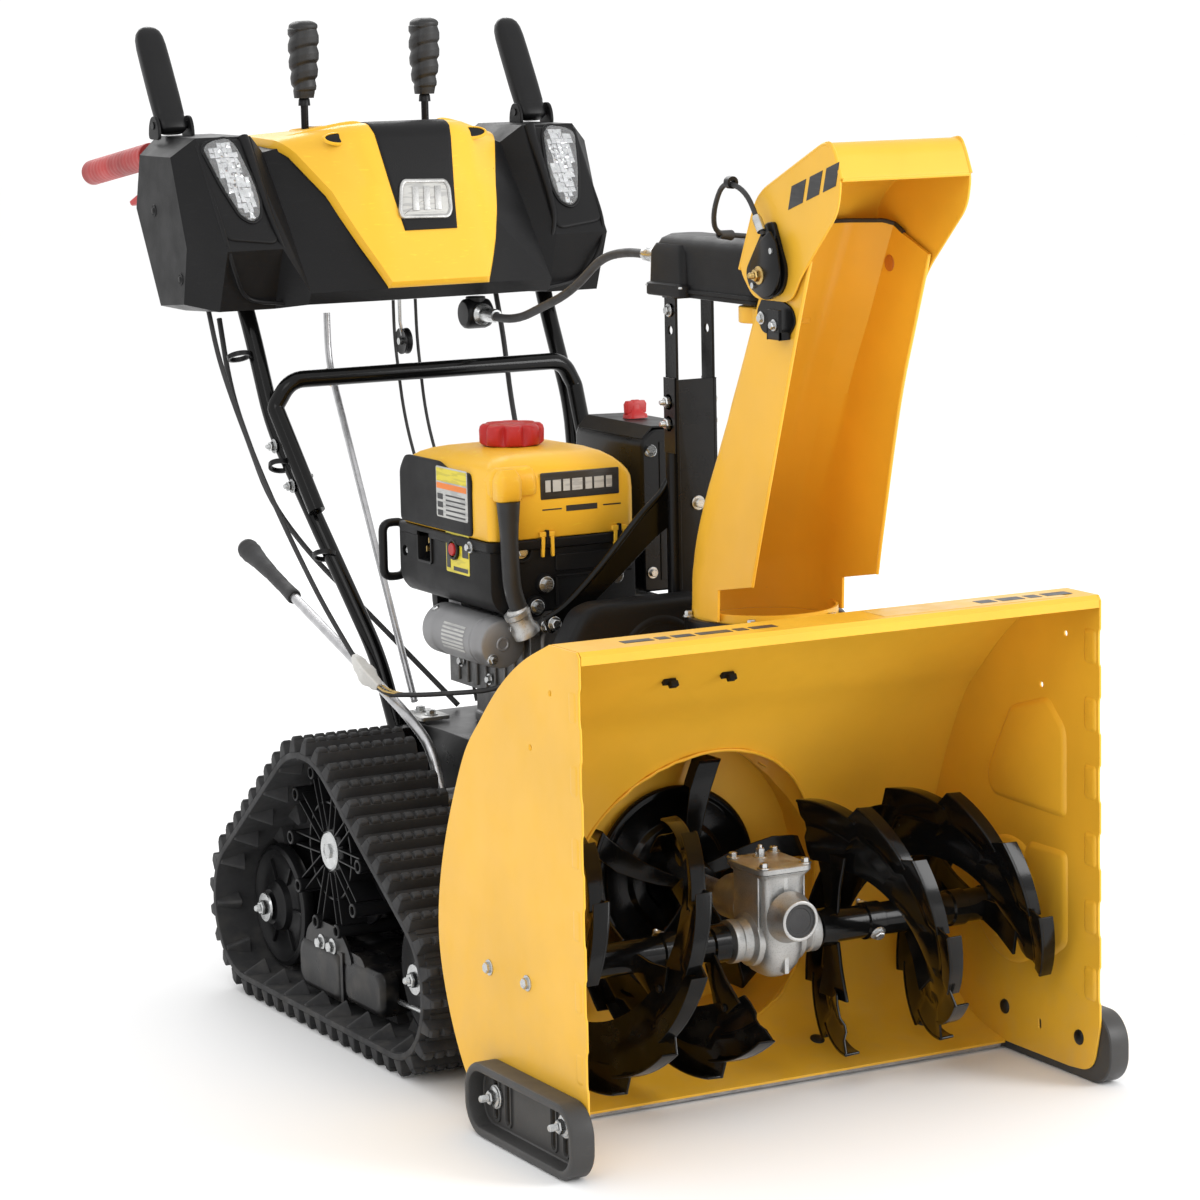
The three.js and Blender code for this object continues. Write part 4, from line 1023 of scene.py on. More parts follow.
def drive_wheel():
    """Spoked sprocket: ten U-shaped spokes that end in ring bosses, a circular rib and a thin web."""
    c = Vector((0, 712, 220))
    parts = [turned([(12, 226), (26, 226), (27, 229), (27, 286), (31, 290), (31, 297), (28, 299), (0, 299),
                     (0, 290), (12, 290)],
                    c, (1, 0, 0), 40)]
    parts.append(turned([(58, 262), (61, 262), (61, 300), (58, 300)], c, (1, 0, 0), 64, loop=True))
    parts.append(turned([(20, 262), (94, 262), (97, 264), (97, 268), (94, 270), (20, 270)], c, (1, 0, 0), 64,
                        loop=True))
    for k in range(10):
        t = TAU * k / 10
        m = Matrix.Translation(c) @ Matrix.Rotation(t, 4, "X")
        for w in (-7.5, 7.5):
            parts.append(moved(loft([[Vector(q)
                                      for q in ((268, r, at - 1.4), (268, r, at + 1.4), (top, r, at + 1.1),
                                                          (top, r, at - 1.1))]
                                     for r, at, top in ((26, w * 0.9, 302), (92, w, 304))]), m))
        if k % 2:
            parts.append(moved(block(262, 296, 58, 92, -1.2, 1.2), m))
        ring = turned([(5.2, 224), (9, 224), (9, 309), (8, 310), (6, 310), (5.2, 309)], (0, 98, 0), (1, 0, 0),
                      22, loop=True)
        core = turned([(0, 226), (5.6, 226), (5.6, 296), (0, 296)], (0, 98, 0), (1, 0, 0), 16)
        parts.append(moved(join(ring, core), m))
    return join(*parts)


def idler(y):
    c = (0, y, 110)
    steps = [(10.6, 232), (72, 232), (77, 234), (78, 238), (78, 248), (76, 252), (56, 255), (56, 264),
             (76, 268), (78, 272), (78, 278),
             (76.5, 282), (71, 284), (66, 281), (62, 277), (50, 275.5), (38, 276), (33, 279), (31, 287),
             (26, 290), (22, 295), (10.6, 295)]
    parts = [turned(steps, c, (1, 0, 0), 64, loop=True)]
    for k in range(6):
        m = Matrix.Translation(Vector(c)) @ Matrix.Rotation(TAU * k / 6, 4, "X")
        parts.append(moved(block(274, 280, 33, 61, -1.6, 1.6), m))
    return join(*parts)


def build_tracks():
    for side, s in SIDES:
        carriage, wheel = f"carriage_{side}", f"drive_wheel_{side}"
        piece(f"belt_{side}", belt(s), RUBBER, carriage, replaces=f"track_belt_{side}", bevel=1.0, segments=1,
              sharp=50)
        piece(f"sprocket_{side}", for_side(drive_wheel(), s), DARK_PLASTIC, wheel,
              replaces=f"drive_wheel_{side}", bevel=0.7, segments=2, sharp=40)
        piece(f"half_shaft_{side}", bar((s * 130, 712, 220), (s * 300, 712, 220), 12.4, 32), ROD_STEEL, wheel)
        cap = join(turned([(0, 298.5), (24, 298.5), (24, 301), (22, 302.5), (0, 302.5)], (0, 712, 220),
                          (1, 0, 0), 40),
                   hex_bolt((302, 712, 220), X, 10, 3.6, False))
        piece(f"sprocket_nut_{side}", for_side(cap, s), ZINC, wheel, sharp=30)
        for end, y in (("front", 480), ("rear", 912)):
            body = f"{end}_idler_{side}"
            piece(f"{end}_roller_{side}", for_side(idler(y), s), DARK_PLASTIC, body,
                  replaces=f"{end}_idler_{side}", sharp=42)
            nut = join(turned([(0, 300.4), (19, 300.4), (18, 303), (0, 303)], (0, y, 110), (1, 0, 0), 32),
                       hex_bolt((303, y, 110), X, 9, 7, False, 5))
            piece(f"{end}_axle_nut_{side}", for_side(nut, s), ZINC, carriage, sharp=30)
        keep(f"track_frame_{side}", SATIN_BLACK, 1.2)
        # Box beam between the idlers with its joint, cross bolts and adjusting rod.
        pan = []
        for y0, y1, grow in ((562, 676, 0), (672, 798, 3)):
            pan.append(loft([[Vector((x, b, c)) for b,
                              c in round_rect((y0 + y1) / 2, 70 - grow / 2, y1 - y0 - 2 * d,
                                              56 + grow * 2 - 2 * d, 15, 6)]
                             for x, d in ((284, 0), (299 + grow, 0), (303 + grow, 1.6), (305.4 + grow, 5),
                                          (306 + grow, 9))]))
        pan.append(prism(filleted2([(626, 92), (786, 92), (780, 104), (752, 109), (676, 109), (650, 104)], 6),
                         "x", 222, 301))
        pan.append(prism(filleted2([(644, 90), (782, 90), (776, 112), (750, 130), (682, 130), (656, 110)], 14),
                         "x", 301.6, 306))
        pan.append(prism(filleted2([(610, 92), (700, 92), (690, 108), (622, 106)], 8), "x", 270, 304))
        pan.append(block(284, 308, 669, 676, 40, 102))
        piece(f"beam_cover_{side}", for_side(join(*pan), s), SATIN_BLACK, carriage, bevel=2.4, segments=3,
              sharp=35)
        bolts = [for_side(hex_bolt((306, y, z), X, 7, 6), s) for y, z in ((732, 103), (700, 104))]
        bolts.append(bar((s * 280, 500, 62), (s * 284, 600, 62), 3.4, 14))
        piece(f"beam_bolts_{side}", join(*bolts), ZINC, carriage, sharp=30)
        rear = for_side(join(hex_bolt((216, 668, 196), X, 6, 5), hex_bolt((216, 756, 196), X, 6, 5)), s)
        piece(f"carriage_bolts_{side}", rear, ZINC, carriage, sharp=30)


build_tracks()

# ---------------------------------------------------------------- engine
# Any point of each axis; both run along Y.
STARTER, RECOIL = (-135, 0, 479), (-20, 0, 500)


def lobed(cx, cy, r, lobes, deep, n=96):
    """A circle with round hollows, as on a cap's rim."""
    return [(cx + (r - deep * (0.5 + 0.5 * math.cos(lobes * TAU * k / n)) ** 3) * math.cos(TAU * k / n),
             cy + (r - deep * (0.5 + 0.5 * math.cos(lobes * TAU * k / n)) ** 3) * math.sin(TAU * k / n))
            for k in range(n)]


def build_engine():
    # Crankcase and cylinder: the CAD block stays, with ribs, pads, covers and bolts on it.
    keep("engine_block", DARK_ALLOY, 3.0, 3)
    ribs = [block(-101.5, -97, y, y + 5, 405, 508) for y in (575, 600, 625, 650, 675, 700, 725, 750)]
    ribs.append(block(-101, 103, 556, 560, 420, 500))
    ribs += [block(x, x + 4, 557, 563, 405, 470) for x in (-90, -74, -58, 54, 70, 86)]
    sump = plate_rings(round_rect(8, 668, 176, 196, 22), [(350.5, 3), (352, 0), (362, 0), (364, 2), (366, 8)])
    cover = plate_rings(round_rect(-40, 452, 104, 96, 20), [(560.5, 8), (555, 4), (552, 8)], "y")
    nose = turned([(13.5, 565), (50, 565), (49, 548), (44, 541), (30, 539.5), (24, 536), (13.5, 536)],
                  (0, 0, 455), (0, 1, 0), 48, loop=True)
    lugs = [turned([(0, 0), (9, 0), (8, 10), (0, 10)], (x, 556, z), (0, -1, 0), 20)
            for x, z in ((-84, 498), (-84, 412), (-20, 412), (-52, 504))]
    neck = turned([(0, 0), (17, 0), (17, 8), (14, 12), (14, 24), (16, 26), (16, 32), (0, 32)], (-112, 541, 492),
                  (-0.45, 0, 0.89), 28)
    piece("crankcase_castings", join(*ribs, sump, cover, nose, *lugs), DARK_ALLOY, bevel=1.4, sharp=35)
    piece("filler_neck", neck, ALLOY, sharp=40)
    bolts = [hex_bolt((x, 546, z), -Y, 5.5, 5) for x, z in ((-84, 498), (-84, 412), (-20, 412), (-52, 504))]
    bolts += [hex_bolt((x, y, 366), Z, 6, 5) for x in (-62, 78) for y in (588, 748)]
    bolts += [hex_bolt((-101.5, y, z), -X, 5, 4) for y, z in ((590, 430), (664, 418), (740, 430))]
    piece("crankcase_bolts", join(*bolts), ZINC, sharp=30)

    # Black filler tube that flares into the tank cover's boss.
    line = filleted([(-118, 541, 512), (-131, 541, 545), (-133.5, 541, 600), (-133.5, 541, 652)], 30, 8)
    flare = tube(line, lambda u: 10.8 + 3.4 * max(0.0, (u - 0.62) / 0.38) ** 1.6, 28)
    piece("filler_tube", flare, STICK_RUBBER, slot="black_plastic")
    piece("filler_collar", turned([(0, 0), (13, 0), (14, 3), (14, 14), (12, 17), (0, 17)], (-120, 541, 508),
                                  (-0.3, 0, 0.95), 28),
          ALLOY)

    # Shroud: lower black moulding with a ledge, recess for the starter cord, screws and parting lines.
    x0, x1, y0, y1 = -150, 46, 559, 808
    low = [(x0 + 14, 514), (x1, 514), (x1, 601.5), (x0, 601.5), (x0, 540), (x0 + 3, 528)]
    low = filleted2(low, [14, 4, 2, 2, 16, 12], 6)
    shell = plate_rings(low, [(y0, 1.5), (y0 + 0.6, 0.5), (y0 + 2, 0), (y1 - 2, 0), (y1 - 0.6, 0.5), (y1, 1.5)],
                        "y")
    shroud = piece("shroud_shell", shell, BLACK_PLASTIC, replaces="engine_shroud", sharp=40)
    cuts = [block(x0 - 2, x0 + 13, 717, 750, 561, 596), bar((x0 - 3, 652, 584), (x0 + 6, 652, 584), 9.4, 24),
            bar((x0 - 3, 792, 566), (x0 + 8, 792, 566), 7, 20),
            bar((-107, y0 - 4, 588), (-107, y0 + 6, 588), 10, 24)]
    drilled(shroud, "shroud_cuts", join(*cuts))
    ledge = plate_rings(round_rect((x0 + x1) / 2, (y0 + y1) / 2 - 4, x1 - x0 + 7, y1 - y0 + 2, 10),
                        [(589, 3.5), (590.5, 0.6), (592, 0), (600, 0), (601.4, 1.2)])
    drilled(piece("shroud_ledge", ledge, BLACK_PLASTIC, sharp=40), "ledge_cut",
                       join(block(x0 - 8, x0 + 13, 717, 750, 561, 596),
                            bar((x0 - 8, 652, 584), (x0 + 6, 652, 584), 9.4, 24)))
    frame_ring = loft([outline3(offset(round_rect(733.5, 578.5, 33, 35, 2, 3), d), "x", x)
                       for x, d in ((x0 + 1, 0), (x0 - 2.2, 0.4), (x0 - 2.6, 1.4), (x0 - 2.2, 3.2),
                                    (x0 + 1, 3.6))], caps=False)
    piece("inlet_frame", frame_ring, DARK_PLASTIC, sharp=40)
    pins = [block(x0 + 4, x0 + 13, y - 1.2, y + 1.2, z - 3.5, z + 3.5) for y,
            z in ((726, 574), (740, 574), (733, 585))]
    piece("inlet_pins", join(*pins), GOLD_ZINC, bevel=0.4)
    patch = plate_rings(round_rect(645, 580, 62, 50, 2, 3), [(x0 - 0.1, 0), (x0 - 0.5, 0.2)], "x")
    piece("button_label", patch, LABEL_YELLOW, sharp=40)
    marks = [block(x0 - 0.8, x0 - 0.5, a, b, c, d) for a, b, c, d in
             ((662, 674, 596, 602), (616, 640, 597, 602), (616, 632, 576, 592), (664, 674, 560, 590),
              (618, 656, 558, 563))]
    piece("button_label_bars", join(*marks), LABEL_DARK, bevel=0.1)
    guard = turned([(9.6, 0.4), (13, 0.4), (13, 3.5), (12, 4.4), (10, 4.4), (9.6, 3.6)], (x0, 652, 584),
                   (-1, 0, 0), 32, loop=True)
    piece("button_guard", guard, DARK_PLASTIC)
    piece("start_push", turned([(0, -2), (7.8, -2), (7.8, 5), (7, 6), (0, 5.6)], (x0, 652, 584), (-1, 0, 0),
                               30), RED_PLASTIC,
          "start_button", replaces="start_button")
    screws = [cross_screw((x0 + 5, 792, 566), -X, 4.6)]
    screws += [hex_bolt((x0 - 3.6, 604, 592), -X, 5, 4.5), hex_bolt((-107, y0 + 4, 588), -Y, 6.4, 6),
               hex_bolt((-79, y0 - 6, 547), -Y, 6.6, 6), hex_bolt((-92, 553, 521), -Y, 6.4, 6),
               hex_bolt((20, y0, 548), -Y, 6, 5)]
    piece("shroud_screws", join(*screws), ZINC, sharp=30)
    bosses = [turned([(0, 0), (13, 0), (11, 7), (0, 7)], (-79, y0 + 1, 547), -Y, 24),
              turned([(10.5, 1), (14, 1), (13.5, 2.5), (10.5, 2.5)], (-107, y0, 588), -Y, 28, loop=True),
              turned([(0, 0), (14, 0), (12, 8), (0, 8)], (-92, 561, 521), -Y, 24)]
    bosses += [block(-64, 40, y0 - 2.5, y0 + 1, 553, 556), block(-64, -61, y0 - 2.5, y0 + 1, 520, 556)]
    bosses += [plate_rings(round_rect(-12, 571, 104, 22, 4), [(y0 + 1, 0), (y0 - 2, 0.8), (y0 - 2.4, 2)], "y")]
    piece("shroud_bosses", join(*bosses), BLACK_PLASTIC, bevel=0.8, sharp=40)

    # Tank cover with soft corners, a black side panel, dark band, and two snap clips with dark blocks as
    # painted shade in their gaps.
    body = [(602, 1.5), (603.5, 0), (655, 0), (674, 0.8), (683, 3.2), (690, 8), (695.5, 15), (699.3, 25),
            (701.4, 38), (702.3, 62)]
    rings = []
    for z, d in body:
        ring = []
        for px, py in round_rect((x0 + x1) / 2, 678.5, x1 - x0 - 2 * d, 243 - 2 * d, 11 + d * 0.34, 8):
            lift = 0.0
            if z > 650:
                lift = -16 * max(0.0, (px - 6) / 40) ** 1.5 * (z - 650) / 52 - 9 * max(0.0,
                        (py - 720) / 80) * (z - 650) / 52
            ring.append(Vector((px, py, z + lift)))
        rings.append(ring)
    top = loft(rings)
    boss = plate_rings(round_rect(-133, 544, 32, 27, 9), [(652, 2.2), (654, 0), (676, 0), (684, 3), (690, 8)])
    blend = plate_rings(round_rect(-118, 566, 62, 30, 9), [(656, 2), (660, 0), (676, 0), (686, 4), (690, 9)])
    piece("tank_cover", join(top, boss, blend), YELLOW_PLASTIC, replaces="fuel_tank_cover", sharp=50)
    panel = filleted2([(602, 604), (798, 604), (798, 668), (782, 687), (690, 687), (668, 680), (610, 680),
                       (602, 672)], 8)
    piece("tank_side_panel", plate_rings(panel, [(x0 + 2, 0), (x0 - 1.6, 0.2), (x0 - 2.4, 1.4), (x0 - 2.6, 5)],
                                         "x"), BLACK_PLASTIC, sharp=40)
    piece("warning_plate", plate_rings(round_rect(652, 651, 84, 62, 3), [(x0 - 2.6, 0), (x0 - 3.0, 0.3)], "x"),
          LABEL_GREY)
    piece("plate_head", block(x0 - 3.3, x0 - 3.0, 612, 692, 664, 680), LABEL_YELLOW, bevel=0.1)
    piece("plate_band", block(x0 - 3.3, x0 - 3.0, 612, 692, 655, 662), LABEL_ORANGE, bevel=0.1)
    rows = [block(x0 - 3.3, x0 - 3.0, 616, 668, z, z + 2) for z in (623, 629, 635, 641, 647)]
    rows += [block(x0 - 3.3, x0 - 3.0, 676, 690, z, z + 7) for z in (622, 632, 642)]
    piece("plate_rows", join(*rows), LABEL_DARK, bevel=0.1)
    strip = plate_rings(round_rect(-29, 664, 106, 32, 1.5, 3), [(557.2, 0), (556.2, 0.2), (555.9, 1)], "y")
    piece("front_strip", strip, LABEL_DARK)
    bars = [block(x, x + w, 555.4, 555.9, 657, 671) for x,
            w in ((-76, 7), (-66, 11), (-52, 9), (-40, 14), (-22, 9), (-10, 13), (6, 8))]
    piece("front_strip_bars", join(*bars), LABEL_GREY, bevel=0.1)
    bars = [block(x, x + w, 556.5, 557.3, z, z + h) for x, w, z,
            h in ((-80, 26, 635, 1.6), (2, 24, 635, 1.6), (-48, 42, 632, 7))]
    piece("front_lines", join(*bars), LABEL_DARK, bevel=0.1)
    clips, gap_shade_blocks = [], []
    for x in (-76, 22):
        for dx in (-8, 4):
            clips.append(loft([outline3([(x + dx, 604), (x + dx + 5, 604),
                                         (x + dx + 5 - (1.5 if dx < 0 else 0), 580),
                                         (x + dx + (1.5 if dx > 0 else 0), 580)], "y", y)
                               for y in (556.4, 552.2)]))
        clips.append(block(x - 10, x + 10, 552.6, 556.4, 604, 610))
        # Dark blocks in the slot between the two tabs and along the seam below: painted shade in the gaps, not
        # parts.
        gap_shade_blocks.append(block(x - 2, x + 2, 551.5, 557, 596, 612))
        gap_shade_blocks.append(block(x - 14, x + 14, 553.5, 557, 599, 602.5))
    piece("cover_clips", join(*clips), YELLOW_PLASTIC, bevel=0.8)
    # The dark blocks drawn as painted shade in the clips' gaps.
    piece("clip_gap_shade", join(*gap_shade_blocks), DARK_PLASTIC, bevel=0.6)

    # Fuel cap: lobed rim, domed top with a raised disc.
    cap = [(702.6, 34, 0), (704, 37, 3), (706, 39.2, 7), (721, 39.6, 8.8), (725.5, 38.4, 8.4), (728, 35.4, 6.4),
           (728.6, 29, 1.6), (727, 25, 0),
           (726.6, 20, 0), (727.6, 18, 0), (728, 8, 0)]
    rings = [[Vector((a, b, z)) for a, b in lobed(-60, 672, r, 8, deep)] for z, r, deep in cap]
    piece("fuel_cap_body", loft(rings), RED_PLASTIC, "fuel_cap", replaces="fuel_cap", sharp=60)
    piece("filler_ring", turned([(0, 0), (34, 0), (33, 1.6), (0, 1.6)], (-60, 672, 701.2), Z, 40), DARK_PLASTIC)

    # Starter motor: can with end caps, screws, a plain plate of rows and its mounting foot.
    can = [(0, 588), (29.2, 588), (29.2, 590.5), (30.8, 591.5), (30.8, 672), (30, 673),
           (30, 690), (31, 692), (31, 716), (27, 724), (18, 730), (16, 742), (0, 742)]
    piece("starter_can", join(turned(can, STARTER, Y, 56), block(-112, -98.3, 600, 700, 458, 502),
                              block(-126, -96, 690, 722, 452, 512)), MOTOR_GREY, replaces="starter_motor",
          bevel=0.9,
          sharp=40)
    shell = [(0, 560), (5, 560), (6, 559), (8, 559), (9, 560), (25.5, 560), (28.4, 561.6), (29.6, 565),
             (29.9, 575), (30.6, 576), (30.6, 588),
             (29, 589), (0, 589)]
    lugs = [turned([(0, 559.2), (6.4, 559.2), (6.8, 561), (6.8, 590), (0, 590)],
                   (-135 + 23 * math.cos(t), 0, 479 + 23 * math.sin(t)), (0, 1, 0), 20)
            for t in (0.85, 4.0)]
    piece("starter_end", join(turned(shell, STARTER, Y, 56), *lugs), MOTOR_GREY, sharp=40)
    rows = []
    for k in range(7):
        t = math.radians(150 + 9 * k)
        m = Matrix.Translation(STARTER) @ Matrix.Rotation(-t, 4, "Y")
        rows.append(moved(block(30.7, 31.3, 606, 664, -1.4, 1.4), m))
    piece("starter_rows", join(*rows), LABEL_GREY, bevel=0.2)
    ends = [hex_bolt((-135 + 23 * math.cos(t), 559.2, 479 + 23 * math.sin(t)), -Y, 4.6, 4) for t in (0.85, 4.0)]
    ends.append(hex_bolt((-150, 706, 502), Vector((-0.5, 0, 0.86)), 5, 4))
    piece("starter_screws", join(*ends), ZINC, sharp=30)

    # Recoil starter at the rear: vented cover, and a D grip on its cord.
    cover = [(0, 808), (80, 808), (80, 822), (77, 829), (68, 833), (30, 835), (26, 838), (0, 838)]
    vents = []
    for k in range(18):
        m = Matrix.Translation(RECOIL) @ Matrix.Rotation(TAU * k / 18, 4, "Y")
        vents.append(moved(loft([outline3(round_rect(50, 0, 32, 7, 3, 4), "y", y) for y in (826, 845)]), m))
    rec = piece("recoil_cover", turned(cover, RECOIL, Y, 72), BLACK_PLASTIC, sharp=40)
    drilled(rec, "recoil_vents", join(*vents))
    piece("recoil_reel", turned([(0, 826), (70, 826), (70, 828), (0, 828)], RECOIL, Y, 40), DARK_ALLOY)
    bolts = [hex_bolt((-20 + 84 * math.cos(t), 808, 500 + 84 * math.sin(t)), Y, 5, 4) for t in (0.6, 2.1)]
    piece("recoil_bolts", join(*bolts), ZINC, sharp=30)
    grip = filleted([(-124, 847, 526), (-154, 847, 526), (-154, 847, 594), (-124, 847, 594)], 12, 6,
                    closed=True)
    ring = []
    for p, sdir, u in frames(grip + grip[:1], (0, 1, 0))[:-1]:
        ring.append([p + sdir * 5.4 * math.cos(TAU * k / 12) + u * 6.6 * math.sin(TAU * k / 12)
                     for k in range(12)])
    piece("recoil_grip", join(loft(ring, loop=True), bar((-124, 847, 560), (-119, 847, 560), 6, 16)),
          DARK_PLASTIC, "recoil_handle",
          replaces="recoil_handle", sharp=50)

    # Exhaust cover: pressed black box, folded top plate, louvres and fixings.
    box = [(80, 516), (182, 516), (182, 690), (160, 714), (96, 716), (80, 702)]
    soft = filleted2(box, 8)
    piece("exhaust_box", plate_rings(soft, [(600, 3), (602, 0.8), (605, 0), (767, 0), (770, 0.8), (772, 3)],
                                     "y"), SATIN_BLACK, replaces="muffler_cover", sharp=40)
    vents = [block(182.2, 183.2, 628 + k * 12, 634 + k * 12, 560, 660) for k in range(10)]
    vents += [block(150, 158, 599, 600.2, 530, 690), block(104, 112, 598.6, 600.2, 530, 700)]
    piece("exhaust_louvres", join(*vents), SATIN_BLACK, bevel=0.6)
    top = loft([[Vector(q) for q in ((84, y, 703.5), (97, y, 717), (159, y, 715.2), (181, y, 691),
                                     (181, y, 693.4), (160, y, 717.6),
                                     (96, y, 719.6), (82, y, 705.2))] for y in (603, 769)])
    piece("exhaust_top", top, BLACK_PLASTIC, bevel=0.8)
    bolts = [hex_bolt((92, 600, 690), Vector((-0.3, -1, 0.3)), 5.5, 6), hex_bolt((170, 599.5, 640), -Y, 5, 4),
             hex_bolt((92, 599.5, 540), -Y, 5, 4)]
    piece("exhaust_bolts", join(*bolts), ZINC, sharp=30)
    knob = [loft([[Vector((a, b, z)) for a, b in round_rect(125, 696, w, d, r, 5)] for z, w, d, r in
                  ((719.8, 30, 22, 8), (724, 29, 21, 8), (728, 18, 14, 6), (732, 14, 9, 4), (740, 13, 7, 3),
                   (742, 10, 5, 2.4))])]
    knob.append(loft([[Vector((a, b, z)) for a, b in round_rect(125, 696, w, d, r, 4)] for z, w, d, r in
                      ((726, 30, 7, 3), (737, 31, 8, 3.5), (741, 26, 6, 2.8))]))
    piece("choke_turn_knob", join(*knob), RED_PLASTIC, "choke_knob", replaces="choke_knob", sharp=45)

    # Belt drive: rounded cover with a pressed ring, and the pulley and belt behind it.
    hood = filleted2([(-130, 300), (-130, 462), (-92, 528), (-70, 536), (70, 536), (92, 528), (130, 462),
                      (130, 300)], 26, 7)
    shell = plate_rings(hood, [(473, 0), (444, 0.5), (439, 3), (436.6, 8), (436, 14)], "y")
    piece("belt_hood", shell, BLACK_PLASTIC, replaces="belt_cover", sharp=45)
    rings = [turned([(44, 437), (48, 433.4), (52, 433.4), (56, 437)], (10, 0, 462), (0, 1, 0), 56, loop=True),
             turned([(0, 437), (26, 437), (24, 434), (0, 433.6)], (10, 0, 462), (0, 1, 0), 40)]
    piece("belt_hood_rings", join(*rings), BLACK_PLASTIC, sharp=45)
    keep("drive_belt", RUBBER, 0.6)
    keep("crank_pulley", DARK_ALLOY, 0.6)
    keep("frame", SATIN_BLACK, 2.0)
    mounts = [plate_rings(round_rect(-124, y, 40, 60, 4), [(353, 0.6), (353.4, 0), (357, 0), (357.6, 0.8)])
              for y in (560, 800)]
    piece("deck_plate", join(*mounts), ALLOY, sharp=40)
    bolts = [hex_bolt((x * 140.2, y, z), X * x, 6.5, 5) for x in (-1, 1) for y,
             z in ((520, 320), (640, 320), (820, 320), (820, 160), (520, 160))]
    bolts += [hex_bolt((-124, y, 357.6), Z, 6, 5) for y in (545, 575, 785, 815)]
    piece("frame_bolts", join(*bolts), ZINC, sharp=30)


build_engine()

# ---------------------------------------------------------------- chute and its drive
def cable(name, points, r, material, body=MACHINE, replaces=(), corner=None, sides=10):
    """A routed cable: a round tube on a smooth line."""
    line = filleted(points, corner, 6) if corner else curve(points)
    o = piece(name, tube(line, r, sides), material, body, replaces=replaces, sharp=60)
    real = [metres(p) for p in line]
    return o


def chute_ring(level, n=40):
    """Plan of the chute's sheet at a (z, rear, front, squareness) level, and the level's height."""
    z, rear, front, square = level
    line = []
    for k in range(n + 1):
        t = math.pi * k / n
        c = math.copysign(min(1, abs(math.cos(t)) * 1.45), math.cos(t))
        depth = min(1, math.sin(t) * 1.6)
        a = Vector((85 + 83.5 * math.cos(t), rear - 85 + 83.5 * math.sin(t)))
        b = Vector((85 + 76.5 * c, rear - 1.5 - 61.6 * (1 - depth)))
        q = a.lerp(b, square)
        # The back corners are folded across.
        over = (abs(q.x - 85) - (rear - q.y) - 36) * square
        if over > 0:
            q += Vector((-math.copysign(over / 2, q.x - 85), -over / 2))
        line.append((q.x, q.y))
    line = [(line[0][0], front)] + line + [(line[-1][0], front)]
    return line, z


def rise(y):
    """How far the chute's top edge has risen at a depth: 0 at the front, 1 at the back."""
    return min(1.0, max(0.0, (y - 96) / 84))


